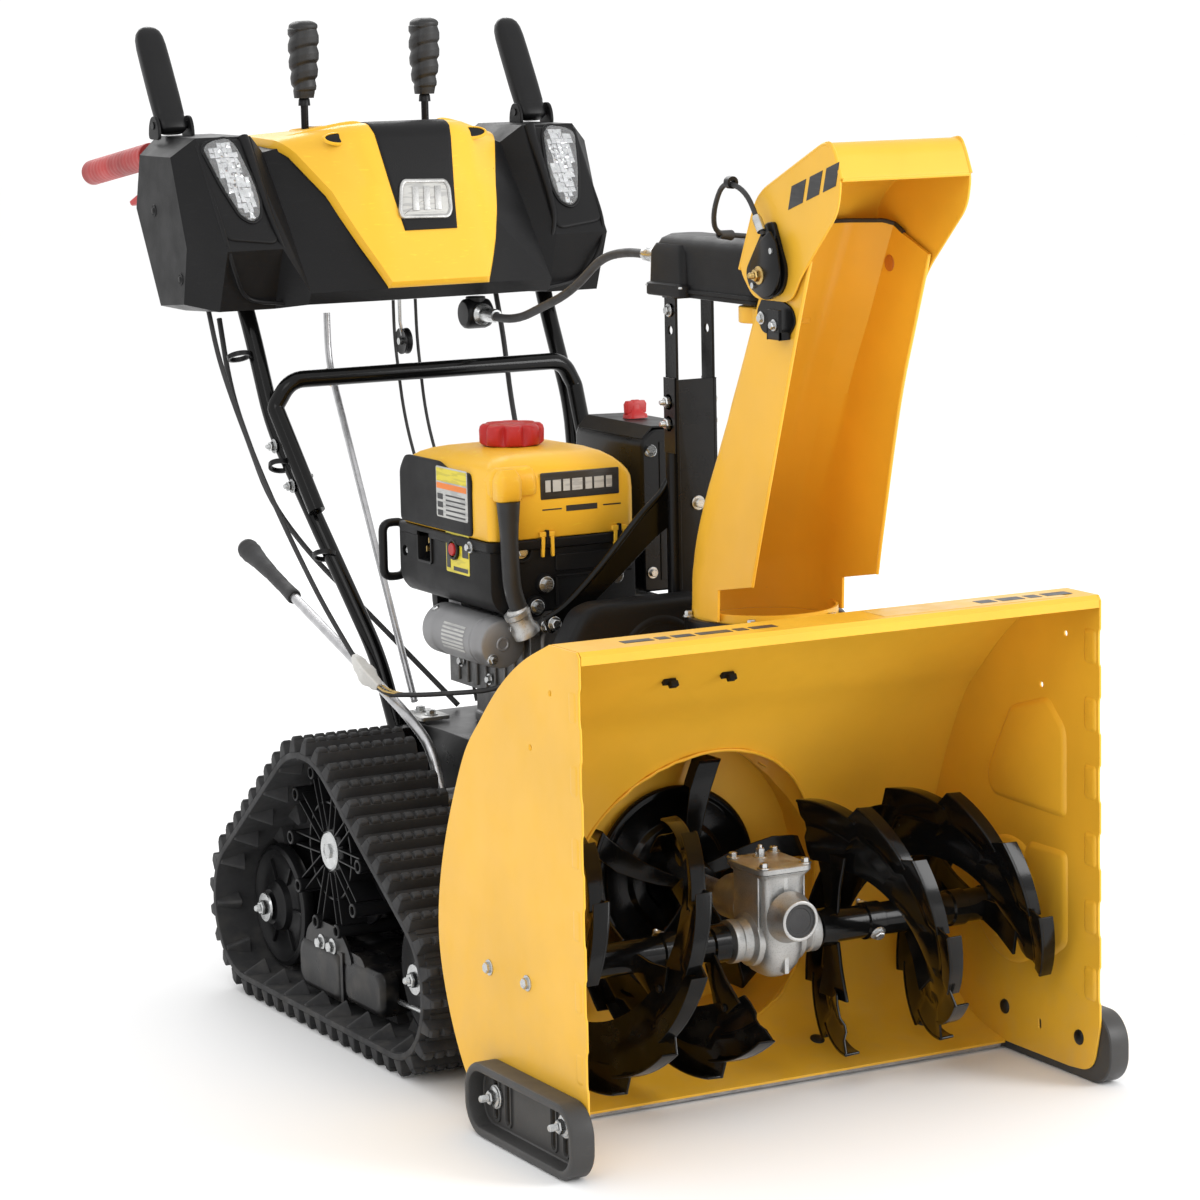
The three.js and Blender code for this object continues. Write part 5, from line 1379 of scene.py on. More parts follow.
def build_chute():
    low = [Vector(v) for v in ((530, 405, 284, 0), (567, 403, 282, 0))]
    high = [Vector(v) for v in ((580, 398.5, 207, 0.07), (640, 371, 190, 0.36), (784, 296, 146, 1),
                                (878, 247, 112, 1), (951.5, 211, 84, 1))]
    smooth = []
    for i in range(len(high) - 1):
        a, b = high[max(i - 1, 0)], high[i]
        c, d = high[i + 1], high[min(i + 2, len(high) - 1)]
        for k in range(6):
            smooth.append(spline(a, b, c, d, k / 6))
    smooth.append(high[-1])
    levels = low + smooth
    rings, edges = [], {0: [], -1: []}
    for level in levels:
        line, z = chute_ring(level)
        rings.append([Vector((x, y, z)) for x, y in ribbon(line, 3)])
        for k in edges:
            if z > 575:
                edges[k].append(Vector((line[k][0], line[k][1] + 1.6, z)))
    # The back wall and the folds go on up under the hood, and the side walls' tops slope down from them.
    line, z = chute_ring(high[-1])
    rings.append([Vector((x, y - 17 * rise(y), z + 33 * rise(y) + 0.2)) for x, y in ribbon(line, 3)])
    collar = turned([(81.9, 506), (85, 506), (85, 538), (81.9, 538)], (85, 320, 0), Z, 64, loop=True)
    arm = [block(64, 106, 246, 320, 868, 884),
           turned([(0, 866), (26, 866), (26, 885), (0, 885)], (85, 320, 0), Z, 36)]
    hems = [tube(e, 2.3, 8) for e in edges.values()]
    piece("chute_sheet", join(loft(rings), collar), YELLOW, "chute", replaces="chute", bevel=0.8, segments=2,
          sharp=45)
    piece("chute_hems", join(*hems), YELLOW, "chute")
    piece("chute_arm", join(*arm), YELLOW, "chute", bevel=1.5)
    top, _ = chute_ring(high[-1])
    piece("chute_seal", tube([Vector((x, y - 1 - 17 * rise(y), 953 + 33 * rise(y))) for x, y in top[1:-1]], 2.6,
                             8), SOFT_BLACK, "chute")
    ring = [(85.6, 512), (93, 512), (94, 514), (94, 525), (92, 528), (85.6, 528)]
    piece("chute_bearing_ring", turned(ring, (85, 320, 0), Z, 64, loop=True), DARK_PLASTIC)
    clamps = [hex_bolt((85 + 90 * math.cos(t), 320 + 90 * math.sin(t), 528), Z, 5, 5)
              for t in (0.4, 1.6, 2.8, 4.0, 5.2)]
    piece("bearing_ring_bolts", join(*clamps), ZINC, sharp=30)
    seam = [turned([(0, 0), (6, 0), (5, 2), (0, 2.6)], (x, y, z), n, 18) for x, y, z,
            n in ((85, 405, 560, Y), (85, 402, 585, Y))]
    piece("chute_rivets", join(*seam), YELLOW, "chute")

    # Hood: folded side walls and a bent top sheet, with plain slanted bars on its left wall.
    side = filleted2([(196, 905), (227, 938), (186, 1020), (30, 1087), (10, 1042), (18, 1006), (94, 936),
                      (116, 905)], 16, 6)
    walls = [prism(side, "x", 1, 4), prism(side, "x", 166, 169)]
    line = filleted2([(226, 936), (185.5, 1019.5), (31, 1085.5), (11.5, 1043)], 26, 8, closed=False)
    sheet_ = prism(ribbon(line, 3), "x", 2, 168)
    fold = [tube([Vector((x, p[0], p[1])) for p in line], 2.6, 10) for x in (3, 167)]
    piece("deflector_hood", join(*walls, sheet_), YELLOW, "deflector", replaces="chute_deflector", bevel=1.0,
          sharp=45)
    piece("hood_folds", join(*fold), YELLOW, "deflector")
    lip = tube([Vector((x, 12.5, 1042)) for x in (4, 30, 85, 140, 166)], 2.4, 8)
    piece("hood_lip", lip, YELLOW, "deflector")
    bars = []
    for y0, w in ((118, 30), (80, 26), (46, 26)):
        bars.append(prism([(y0, 1008 + (112 - y0) * 0.3), (y0 - w, 1008 + (112 - y0 + w) * 0.3),
                           (y0 - w - 8, 1034 + (112 - y0 + w) * 0.3), (y0 - 8, 1034 + (112 - y0) * 0.3)], "x",
                          0.5, 1.1))
    piece("hood_bars", join(*bars), LABEL_DARK, "deflector", bevel=0.1)

    # Black teardrop bracket with its pulley, guard plate, pins and gold pivot bolts.
    tear = filleted2([(150, 992), (143, 992), (117, 940), (126, 916), (163, 904), (197, 918), (204, 936),
                      (160, 990)], 13, 6)
    piece("tilt_bracket", plate_rings(tear, [(0.6, 0.6), (0.2, 0), (-3.4, 0), (-4.0, 0.8), (-4.3, 2)], "x"),
          SATIN_BLACK, "deflector",
          replaces="deflector_bracket", sharp=40)
    pulley = turned([(0, -4.4), (26, -4.4), (27, -5), (27, -6.2), (24, -7), (24, -9), (27, -10), (27, -11.4),
                     (25, -12), (9, -12), (8, -13), (0, -13)],
                    (0, 152, 936), X, 40)
    drop = filleted2([(128, 978), (120, 972), (112, 940), (124, 916), (150, 908), (172, 918), (178, 940),
                      (160, 968), (134, 984)], 12, 5)
    piece("tilt_pulley", pulley, DARK_PLASTIC, "deflector", sharp=40)
    guard = plate_rings(drop, [(-12.4, 0.8), (-12.8, 0), (-14.6, 0), (-15.2, 0.8)], "x")
    piece("tilt_guard", guard, SATIN_BLACK, "deflector", sharp=40)
    piece("tilt_pivot", join(hex_bolt((-15.2, 155, 934), -X, 7, 6, True, 5),
                             turned([(0, 0), (4, 0), (4, 16), (0, 16)], (0.4, 155, 934), -X, 20)),
          GOLD_ZINC, "deflector", sharp=30)
    piece("tilt_pins", join(turned([(0, 0), (3.4, 0), (3.4, 2), (0, 2.6)], (-15.2, 128, 962), -X, 18),
                            turned([(0, 0), (3.4, 0), (3.4, 2), (0, 2.6)], (-15.2, 168, 922), -X, 18)), ZINC,
          "deflector")
    right = turned([(0, 0), (10, 0), (9, 2.6), (5, 4), (0, 4.4)], (161.5, 164, 938), -X, 28)
    piece("hinge_bolt_right", right, HINGE_ORANGE, "chute")
    piece("hinge_nut_right", hex_bolt((169.4, 164, 938), X, 7, 6, True, 4), GOLD_ZINC, "deflector", sharp=30)
    stay = filleted2([(176, 914), (196, 890), (184, 868), (128, 866), (112, 884), (120, 900), (150, 908)], 9, 4)
    mount = [plate_rings(stay, [(6.9, 0.5), (6.7, 0), (4.7, 0), (4.4, 0.4)], "x"),
             block(-9, 6, 125, 150, 864, 873), block(-9, -5, 125, 150, 864, 897)]
    piece("cable_stay", join(*mount), SATIN_BLACK, "chute", bevel=0.8, sharp=40)
    piece("stay_bolts", join(hex_bolt((4.4, 184, 884), -X, 5, 3), hex_bolt((-9, 135, 880), -X, 4.5, 4)), ZINC,
          "chute", sharp=30)

    # Tilt cable with its ferrules, from the head over to the pulley.
    path = [(-12, 150, 978), (-12, 186, 1026), (-12, 236, 1034), (-10, 262, 1000), (8, 290, 972),
            (60, 310, 966)]
    ends = [piece("tilt_ferrule",
                  turned([(3.4, 0), (5.4, 0), (5.4, 16), (4.6, 20), (3.4, 20)], (-12, 153, 982), (0, 0.6, 0.8),
                         20, loop=True),
                  ZINC, "chute"),
            piece("tilt_clip", turned([(3.2, 0), (7, 0), (7, 9), (3.2, 9)], (-12, 214, 1033), Y, 16, loop=True),
                  DARK_PLASTIC, "chute"),
            piece("tilt_boot", turned([(3.2, 0), (6, 0), (4.6, 22), (3.2, 22)], (36, 302, 968.5),
                                      (-0.9, -0.36, 0.1), 18, loop=True), SOFT_BLACK,
                  "chute")]
    cable("tilt_cable", path, 3.0, SOFT_BLACK, "chute", "deflector_cable", corner=24)

    # Gear head, its post and the brace down to the engine.
    head = [loft([[Vector((a, b, z)) for a, b in round_rect(85, cy, w, d, r, 6)] for z, cy, w, d, r in
                  ((888.2, 400, 60, 228, 7), (889, 400, 63, 231, 9), (934, 400, 63, 231, 9),
                   (946, 401, 61, 228, 11), (955, 402, 55, 218, 14),
                   (960, 404, 42, 196, 16))]),
            loft([[Vector((a, b, z)) for a, b in round_rect(85, cy, w, d, r, 6)] for z, cy, w, d, r in
                  ((888.2, 475, 80, 88, 8), (889.5, 475, 83.5, 91, 9), (902, 475, 83.5, 91, 9),
                   (904, 476, 76, 84, 9), (940, 477, 74, 80, 10),
                   (949, 478, 66, 70, 12))])]
    rim = loft([outline3(round_rect(85, 400, 68 - d * 2, 236 - d * 2, 10, 6), "z", z) for z,
                d in ((893, 1.5), (894, 0), (898, 0), (899, 1.5))])
    piece("gear_head", join(*head, rim), BLACK_PLASTIC, replaces="chute_head", sharp=40)
    nose = [turned([(0, 0), (17, 0), (17, 10), (14, 13), (0, 14)], (85, 289, 926), -Y, 32),
            block(56, 114, 286, 300, 892, 950)]
    piece("gear_head_nose", join(*nose), DARK_PLASTIC, bevel=2)
    socket = turned([(0, 513), (14, 513), (14, 530), (12, 534), (12, 541), (0, 541)], (85, 0, 930), Y, 32)
    piece("gear_head_socket", socket, DARK_PLASTIC)
    scr = [cross_screw((x, y, 899), Z, 3.6) for x, y in ((46, 436), (46, 514), (124, 436), (124, 514))]
    piece("gear_head_screws", join(*scr), ZINC, sharp=30)
    web = [block(60, 115, 476, 480, 350.6, 788), block(60, 64, 476, 506, 350.6, 788),
           block(111, 115, 476, 506, 350.6, 788),
           block(58.4, 60, 478, 505, 700, 790)]
    upper = [block(61, 114, 477.5, 481, 690, 887), block(61, 64.5, 477.5, 504, 690, 887),
             block(110.5, 114, 477.5, 504, 690, 887)]
    piece("post_channel", join(*web), SATIN_BLACK, replaces="chute_post", bevel=1.6, segments=3, sharp=40)
    up = piece("post_upper", join(*upper), GLOSS_BLACK, bevel=1.2, sharp=40)
    drilled(up, "post_hole", bar((50, 491, 846), (130, 491, 846), 5, 20))
    cap = plate_rings(round_rect(87.5, 492, 56, 32, 3), [(884, 0.5), (885, 0), (887.2, 0), (887.8, 0.8)])
    piece("post_cap", cap, SATIN_BLACK)
    bolts = []
    for y, z in ((493, 761), (493, 735)):
        bolts += [hex_bolt((60, y, z), -X, 7, 6, True, 5), hex_bolt((115, y, z), X, 7, 6)]
    bolts += [hex_bolt((60, 491, 870), -X, 5.5, 4), hex_bolt((87, 476, 640), -Y, 6, 5),
              hex_bolt((87, 476, 420), -Y, 6, 5)]
    piece("post_bolts", join(*bolts), ZINC, sharp=30)
    mid = curve([(-104, 506, 504), (-72, 506, 520), (-20, 506, 562), (34, 506, 612), (70, 506, 640),
                 (92, 506, 672)], 8)
    rings = []
    for i, p in enumerate(mid):
        u = i / (len(mid) - 1)
        w = 9 + 13 * math.sin(u * 1.45) ** 2
        t = (mid[min(i + 1, len(mid) - 1)] - mid[max(i - 1, 0)]).normalized()
        nrm = Vector((-t.z, 0, t.x))
        rings.append([p + nrm * w + Y * 4, p + nrm * w - Y * 4, p - nrm * w - Y * 4, p - nrm * w + Y * 4])
    top_edge = tube([r[0].lerp(r[1], 0.5) for r in rings], 4.6, 12)
    piece("post_brace", join(loft(rings), top_edge), GLOSS_BLACK, bevel=1.2, sharp=50)
    piece("brace_bolts", join(hex_bolt((-96, 502, 508), -Y, 6, 5), hex_bolt((84, 502, 656), -Y, 6, 5)), ZINC,
          sharp=30)

    # Flexible drive shaft from the dash to the gear head.
    path = [(85, 1032, 829), (85, 938, 826), (85, 784, 872), (85, 700, 920), (85, 640, 930), (85, 542, 930)]
    ends = [piece("drive_ferrule_front",
                  turned([(5.6, 543), (8.4, 543), (9, 546), (9, 578), (8, 580), (8, 590), (5.6, 592)],
                         (85, 0, 930), Y, 28, loop=True),
                  ZINC),
            piece("drive_ferrule_rear",
                  turned([(5.6, 990), (8, 990), (9, 994), (9, 1024), (14, 1028), (14, 1034), (5.6, 1034)],
                         (85, 0, 829), Y, 28,
                                               loop=True), ZINC)]
    cable("drive_shaft_sheath", path, 5.5, SOFT_BLACK, replaces="chute_flex_shaft", corner=60,
          sides=14)
    crank = turned([(0, 66), (16, 66), (19, 69), (20, 74), (20, 96), (18, 102), (12, 106), (0, 107)],
                   (0, 1050, 829), X, 36)
    piece("crank_gearcase", join(crank, turned([(0, 0), (13, 0), (13, 22), (0, 22)], (85, 1050, 829), Z, 24)),
          DARK_PLASTIC, bevel=1.0, sharp=40)


build_chute()

# ---------------------------------------------------------------- handlebars, dash and controls
HANDLE = [(151.4, 800, 290), (151.4, 876, 420), (215, 1035, 703), (215, 1100, 830), (225, 1180, 985),
          (265, 1246, 1047), (265, 1500, 1012)]


def sided(points, s):
    return [(p[0] * s, p[1], p[2]) for p in points]


def on_slope(p, foot, head):
    """(x, height up a sloping face, lift off it) to a point; foot and head are its (y, z) ends."""
    up = Vector((0, head[0] - foot[0], head[1] - foot[1])).normalized()
    out = X.cross(up)
    return Vector((p[0], foot[0], foot[1])) + up * p[1] + out * p[2]


def inside(p, outline):
    """Whether a 2-D point lies in a closed outline."""
    hit = False
    for (ax, ay), (bx, by) in zip(outline, [*outline[1:], outline[0]]):
        if (ay > p[1]) != (by > p[1]) and p[0] < ax + (p[1] - ay) * (bx - ax) / (by - ay):
            hit = not hit
    return hit


def slope_plate(outline, levels, foot, head):
    """A plate with stepped, rounded edges that lies on a sloping face."""
    return loft([[on_slope((a, b, level), foot, head) for a, b in offset(outline, -d)] for level, d in levels])


# (y, z) of the foot and the head of the dash's front face and of its pods' faces.
FACE = ((984, 874), (1062, 1072))
POD = ((1030, 928), (1122, 1068))
STICKS = (("shift", -90), ("chute", 85))
# The dash's outline in (y, z), up to 75 mm from the middle and from 172 mm out.
CROWN = [(984, 874), (1030, 985), (1062, 1072), (1240, 1058)]
FLANK = [(1000, 872), (1068, 960), (1140, 1046), (1240, 1055)]


def dash_top(x, y):
    """Height of the dash's top face at a point."""
    k = min(1.0, max(0.0, (abs(x) - 75) / 97))
    return (1072 - (y - 1062) * 14 / 178) * (1 - k) + (1046 + (y - 1140) * 0.09) * k


def panel_width(z):
    """Half-width of the yellow panel at a height on its front."""
    steps = [(800, 72), (876, 72), (890, 79), (924, 96), (962, 112), (1005, 127), (1030, 139), (1046, 156),
             (1056, 168), (1200, 170)]
    for (z0, w0), (z1, w1) in zip(steps, steps[1:]):
        if z <= z1:
            return w0 + (w1 - w0) * (z - z0) / (z1 - z0)
    return 170


def dash_profile(x):
    """The dash's outline at x, with its edges rounded and trimmed where the panel ends, and the normals."""
    k = min(1.0, max(0.0, (abs(x) - 75) / 97))
    raw = [Vector((0, a[0] + (b[0] - a[0]) * k, a[1] + (b[1] - a[1]) * k)) for a, b in zip(CROWN, FLANK)]
    raw[3] = raw[2].lerp(raw[3], (1227 - raw[2].y) / (raw[3].y - raw[2].y))
    coarse = filleted(raw, [0, 20, 16, 0], 5)
    first = [coarse[0].lerp(coarse[1], t) for t in (0, 0.004, 0.016, 0.05, 0.09, 0.3, 0.6)]
    last = [coarse[-2].lerp(coarse[-1], t) for t in (0.3, 0.6, 0.8, 0.93, 0.97, 0.99, 0.998, 1)]
    line = first + coarse[1:-1] + last
    out = []
    for i in range(len(line)):
        d = (line[min(i + 1, len(line) - 1)] - line[max(i - 1, 0)]).normalized()
        out.append((line[i], Vector((0, -d.z, d.y))))
    return out


def panel_sheet():
    """The closed raised panel: a top and a bottom skin that follow the crowned dash."""
    reach = dash_profile(0)
    rows = len(reach)
    total = sum((b[0] - a[0]).length for a, b in zip(reach, reach[1:]))
    run, at = 0, [0]
    for a, b in zip(reach, reach[1:]):
        run += (b[0] - a[0]).length
        at.append(run)
    step = lambda d: 1.0 + 9.0 * min(1, (d / 4.5) ** 0.5 * 0.72 + d / 16) if d < 8 else 10.0
    upper, lower = [], []
    for i in range(rows):
        w = 120
        for _ in range(12):
            w = 0.5 * w + 0.5 * panel_width(dash_profile(w)[i][0].z)
        xs = [w, w - 0.2, w - 0.8, w - 2.2, w - 4.5, w - 8]
        xs += [(w - 8) * t for t in (0.85, 0.7, 0.55, 0.4, 0.25, 0.1)]
        xs = xs + [-x for x in xs[::-1]]
        top, low = [], []
        for x in xs:
            p, nrm = dash_profile(x)[i]
            h = min(step(w - abs(x)), step(at[i]), step(total - at[i]))
            top.append(Vector((x, p.y, p.z)) + nrm * h)
            low.append(Vector((x, p.y, p.z)) + nrm * 0.4)
        upper.append(top)
        lower.append(low)
    rings = [u + v[::-1] for u, v in zip(upper, lower)]
    return loft(rings)


def build_handle():
    for side, s in SIDES:
        piece(f"handle_tube_{side}", tube(filleted(sided(HANDLE, s), 40, 8), 11, 28), GLOSS_BLACK,
              replaces=f"handlebar_{side}", sharp=50)
        piece(f"handle_foot_{side}", for_side(block(140.6, 163, 790, 812, 280, 344), s), SATIN_BLACK, bevel=2)
        bolts = [for_side(hex_bolt(p, X, 6, 5), s) for p in ((163, 800, 300), (163, 800, 330))]
        bolts += [for_side(hex_bolt(p, way, 6.5, 6, True, 3), s) for p, way in (
            ((220.4, 1021.5, 679), X), ((190.2, 999.6, 640), -X), ((209.6, 994, 630), X))]
        piece(f"handle_bolts_{side}", join(*bolts), ZINC, sharp=30)

        # Red grip: collar, shallow rings and a domed end, sloping down to the rear.
        a, b = Vector((265 * s, 1246, 1047)), Vector((265 * s, 1500, 1012))
        along = (b - a).normalized()
        start = a + along * 46.4
        steps = [(11.6, 0), (16.6, 0), (17.2, 1.5), (17.2, 7), (16.2, 9)]
        h = 14
        while h < 190:
            steps += [(16.75, h), (17.0, h + 1.6), (17.0, h + 8.4), (16.75, h + 10)]
            h += 12
        steps += [(17, 203), (17, 212), (15.5, 215.8), (10, 217.4), (0, 217.6)]
        piece(f"grip_cover_{side}", turned(steps, start, along, 36), RED_GRIP, replaces=f"grip_{side}",
              sharp=60)
        tab = filleted2([(1266, 991), (1280, 984.5), (1350, 972.5), (1355, 979), (1292, 1001), (1280, 1007),
                         (1268, 1003)], 5, 4)
        piece(f"trigger_blade_{side}",
              plate_rings(tab, [(s * 257.2, 1), (s * 258.5, 0), (s * 271.5, 0), (s * 272.8, 1)], "x"),
              RED_PLASTIC,
              f"trigger_{side}", replaces=f"trigger_{side}", sharp=45)

        # Clutch paddle: deep rounded channel with a grooved front.
        m = (Matrix.Translation((s * 263, 1222, 1082)) @ Matrix.Rotation(math.radians(59), 4, "X"))
        rings = []
        for y, w, d, dip in ((-10, 15, 8, 0), (-7, 19, 10, 0), (8, 20, 11, 0), (11, 19.2, 10.4, 0),
                             (14, 20, 11, 1.6), (40, 20.4, 11.5, 2.4),
                             (90, 20.2, 11.5, 2.6), (116, 19.8, 11.2, 2.2), (129, 18.6, 10.6, 1.6),
                             (137, 16, 9.2, 1), (142, 12, 7, 0.4),
                             (145, 6, 4, 0)):
            ring = []
            for k in range(28):
                t = TAU * k / 28
                cx = math.copysign(abs(math.cos(t)) ** 0.62, math.cos(t)) * w
                cz = math.copysign(abs(math.sin(t)) ** 0.62, math.sin(t)) * d
                if cz < 0 and abs(cx) < w * 0.6:
                    cz += dip * 1.5
                ring.append(Vector((cx, y, cz)))
            rings.append(ring)
        piece(f"paddle_{side}", moved(loft(rings), m), DARK_PLASTIC, f"clutch_lever_{side}",
              replaces=f"clutch_lever_{side}", sharp=60)
        ears = [prism(filleted2([(1204, 1064), (1240, 1064), (1238, 1082), (1230, 1094), (1214, 1094),
                                 (1206, 1082)], 8, 5), "x",
                      s * 263 + d, s * 263 + d + 4.5) for d in (-25.5, 21)]
        piece(f"paddle_ears_{side}", join(*ears), BLACK_PLASTIC, bevel=1.2)
        pin = turned([(0, -27), (5, -27), (5, 27), (0, 27)], (s * 263, 1222, 1082), X, 20)
        piece(f"paddle_pin_{side}", pin, SATIN_BLACK, slot="steel")

    arch = [(-199, 944, 602), (-216, 1026, 728), (-196, 1021, 762), (196, 1021, 762), (216, 1026, 728),
            (199, 944, 602)]
    line = filleted(arch, [0, 6, 48, 48, 6, 0], 8)
    piece("arch_tube", tube(line, 11, 28), GLOSS_BLACK, replaces="handle_arch", sharp=50)

    # Dash: the CAD body with moulded edges, fascias over the pods, creases and screws.
    keep("dash_shell", BLACK_PLASTIC, 7.0, 4, 24)
    for side, s in SIDES:
        fascia = [(199, 6), (271, 16), (274, 150), (264, 163), (206, 163), (199, 140)]
        fascia = filleted2([(a * s, b) for a, b in fascia], 14, 6)
        piece(f"pod_fascia_{side}", slope_plate(fascia, [(-1, 0), (1.2, 0.4), (2.2, 1.6), (2.4, 4)], *POD),
              BLACK_PLASTIC, sharp=40)
        # Lamp: clear lens over a faceted bright reflector in a dark frame.
        lamp = [(269, 150), (256, 160), (230, 164), (221, 150), (212, 100), (210, 70), (216, 46), (229, 38),
                (242, 48), (256, 92)]
        lamp = filleted2([(a * s, b) for a, b in lamp], 9, 5)
        well = slope_plate(lamp, [(2.2, -3.4), (4.2, -3.0), (4.6, -1.8), (4.2, 0.4), (2.6, 1.2)], *POD)
        piece(f"lamp_frame_{side}", well, DARK_PLASTIC, sharp=40)
        piece(f"lamp_lens_{side}", slope_plate(lamp, [(4.4, 0.6), (6.2, 1.4), (7.2, 3.4), (7.8, 7.5)], *POD),
              LENS,
              replaces=f"headlight_{side}", sharp=30)
        rng = random.Random(11)
        edge = offset(lamp, -3.4)
        facets = []
        for i in range(11):
            for j in range(17):
                a, b = 205 + i * 6.2, 38 + j * 7.4
                if not all(inside((p * s, q), edge) for p,
                           q in ((a, b), (a + 6, b), (a + 6, b + 7), (a, b + 7))):
                    continue
                h = [rng.uniform(2.8, 4.4) for _ in range(5)]
                base = [(a, b), (a + 6, b), (a + 6, b + 7.2), (a, b + 7.2)]
                pts = [on_slope((x * s, y, hh), *POD) for (x, y), hh in zip(base, h)]
                pts.append(on_slope(((a + rng.uniform(1.5, 4.5)) * s, b + rng.uniform(1.5, 5.5), h[4] + 1.0),
                                    *POD))
                facets.append((pts, [[0, 1, 4], [1, 2, 4], [2, 3, 4], [3, 0, 4]]))
        piece(f"lamp_reflector_{side}", join(*facets), MIRROR, flat=True)
        screws = [cross_screw((s * 299.5, y, z), X * s, 4.6) for y, z in ((1202, 974), (1120, 890))]
        rings = [turned([(5.5, -1), (9, -1), (8, 1), (5.5, 1)], (s * 300, y, z), X * s, 24, loop=True) for y,
                 z in ((1202, 974), (1120, 890))]
        piece(f"dash_screws_{side}", join(*screws), SATIN_BLACK, sharp=30)
        piece(f"screw_wells_{side}", join(*rings), BLACK_PLASTIC)
        ridge = [on_slope((s * 207, 166, 0), *POD), on_slope((s * 205, 120, 2), *POD),
                 on_slope((s * 203, 60, 3), *POD),
                 on_slope((s * 198, 18, 2), *POD), Vector((s * 184, 1030, 905)), Vector((s * 176, 1020, 888))]
        piece(f"pod_ridge_{side}", tube(curve(ridge, 8), lambda u: 7.5 - 6 * u, 16), BLACK_PLASTIC, sharp=60)
        # Crease where the side cover meets the pod, running down and in to the dash's foot.
        crease = [on_slope((s * 271.5, 158, -0.6), *POD), on_slope((s * 271, 90, -0.4), *POD),
                  on_slope((s * 269.5, 12, -0.4), *POD),
                  Vector((s * 259, 1036, 898)), Vector((s * 236, 1052, 866)), Vector((s * 190, 1048, 857))]
        piece(f"dash_crease_{side}", tube(curve(crease, 8), 2.6, 8), BLACK_PLASTIC)

    # Yellow panel: raised, with chamfered edges, and its flat top with the two lever slots.
    panel = piece("panel_cover", panel_sheet(), YELLOW_PLASTIC, replaces="dash_panel", sharp=50)
    holes = [loft([outline3([(x + 15 * math.cos(TAU * k / 32), 1184 + 32 * math.sin(TAU * k / 32))
                             for k in range(32)], "z", z)
                   for z in (1040, 1100)]) for _, x in STICKS]
    drilled(panel, "lever_slots", join(*holes))
    for label, x in STICKS:
        rim = []
        for h, g in ((2, -0.6), (11.5, -0.6), (12.6, 0.2), (12.6, 2.2), (11.4, 3.4), (9, 3.8)):
            rim.append([Vector((px, py, dash_top(px, py) + h)) for px, py in
                        ((x + (15 + g) * math.cos(TAU * k / 40), 1184 + (32 + g) * math.sin(TAU * k / 40))
                         for k in range(40))])
        piece(f"{label}_slot_rim", loft(rim, caps=False), YELLOW_PLASTIC)
        marks = [block(x + 22, x + 27, 1184 + d, 1186 + d, dash_top(x, 1184 + d) + 9,
                       dash_top(x, 1184 + d) + 10.6) for d in range(-24, 26, 8)]
        piece(f"{label}_slot_marks", join(*marks), LABEL_DARK, bevel=0.2)
    # Mouths of the lever slots where they break through the crown's front edge.
    for x, label in ((-96, "shift"), (90, "chute")):
        rows = dash_profile(x)
        i = min(range(len(rows)), key=lambda k: abs(rows[k][1].z - 0.66))
        p, nrm = rows[i]
        up = (rows[i + 1][0] - rows[i - 1][0]).normalized()
        oval = lambda rx, ry, h: [Vector((x, p.y, p.z)) + X * (rx * math.cos(TAU * k / 36))
                                  + up * (ry * math.sin(TAU * k / 36))
                                  + nrm * (h - 0.014 * (ry * math.sin(TAU * k / 36)) ** 2) for k in range(36)]
        piece(f"{label}_slot_mouth", loft([oval(20, 7.2, 7), oval(20, 7.2, 10.4), oval(19, 6.2, 10.7)]),
              DARK_PLASTIC)
        rim = [oval(20, 7.2, 9), oval(20.2, 7.4, 11.6), oval(21.2, 8.2, 12.4), oval(22.6, 9.2, 11.8),
               oval(24, 10.4, 9.4)]
        piece(f"{label}_slot_lip", loft(rim, caps=False), YELLOW_PLASTIC)
    strip = []
    for p, nrm in dash_profile(0):
        if p.z < 942 and p.y < 1100:
            continue
        half = 37 + (p.z - 940) * 0.14 if p.y < 1060 else 56
        strip.append((p, nrm, half))
    foot = Vector((0, 1011.5, 941))
    strip = [(foot, strip[0][1], 37)] + strip[:-4]
    section = [(-1.0, 9.4), (-1.0, 10.9), (-0.985, 11.4), (-0.9, 11.5), (0.9, 11.5), (0.985, 11.4), (1.0, 10.9),
               (1.0, 9.4)]
    rings = [[Vector((u * half, p.y, p.z)) + nrm * h for u, h in section] for p, nrm, half in strip]
    piece("panel_strip", loft(rings), BLACK_PLASTIC, sharp=50)
    marks = [block(dx, dx + w, 1100 + dy, 1103 + dy, dash_top(0, 1100 + dy) + 11, dash_top(0, 1100 + dy) + 12)
             for dx, w, dy in
             ((-34, 14, 0), (-14, 14, 0), (6, 14, 0), (24, 14, 0), (-30, 8, 12), (-10, 8, 12), (10, 8, 12),
              (26, 8, 12), (-34, 20, 30), (4, 28, 30))]
    piece("panel_marks", join(*marks), LABEL_GREY, bevel=0.1)
    badge = [(-40, 88), (28, 86), (35, 96), (38, 128), (33, 139), (-28, 141), (-34, 132), (-42, 98)]
    badge = filleted2(badge, 9, 6)
    inner_edge = offset(badge, -5)
    ring = loft([[on_slope((a, b, level), *FACE) for a, b in offset(badge, -d)]
                 for level, d in ((7, 0), (12.4, 0.3), (13, 1.2), (13, 4.0), (12.4, 5.0), (8, 5.4))],
                caps=False)
    piece("badge_ring", ring, ALLOY, sharp=40)
    piece("badge_field", slope_plate(inner_edge, [(7, -0.5), (11.4, 0), (11.6, 1)], *FACE), LABEL_GREY,
          sharp=40)
    bars = [slope_plate([(a, b), (a + w, b), (a + w + 5, b + h), (a + 5, b + h)],
                        [(11.4, 0), (12.6, 0.2), (12.8, 0.8)], *FACE)
            for a, b, w, h in ((-22, 98, 9, 32), (-6, 98, 9, 32), (10, 98, 9, 32))]
    piece("badge_bars", join(*bars), ALLOY, sharp=40)
    bows = []
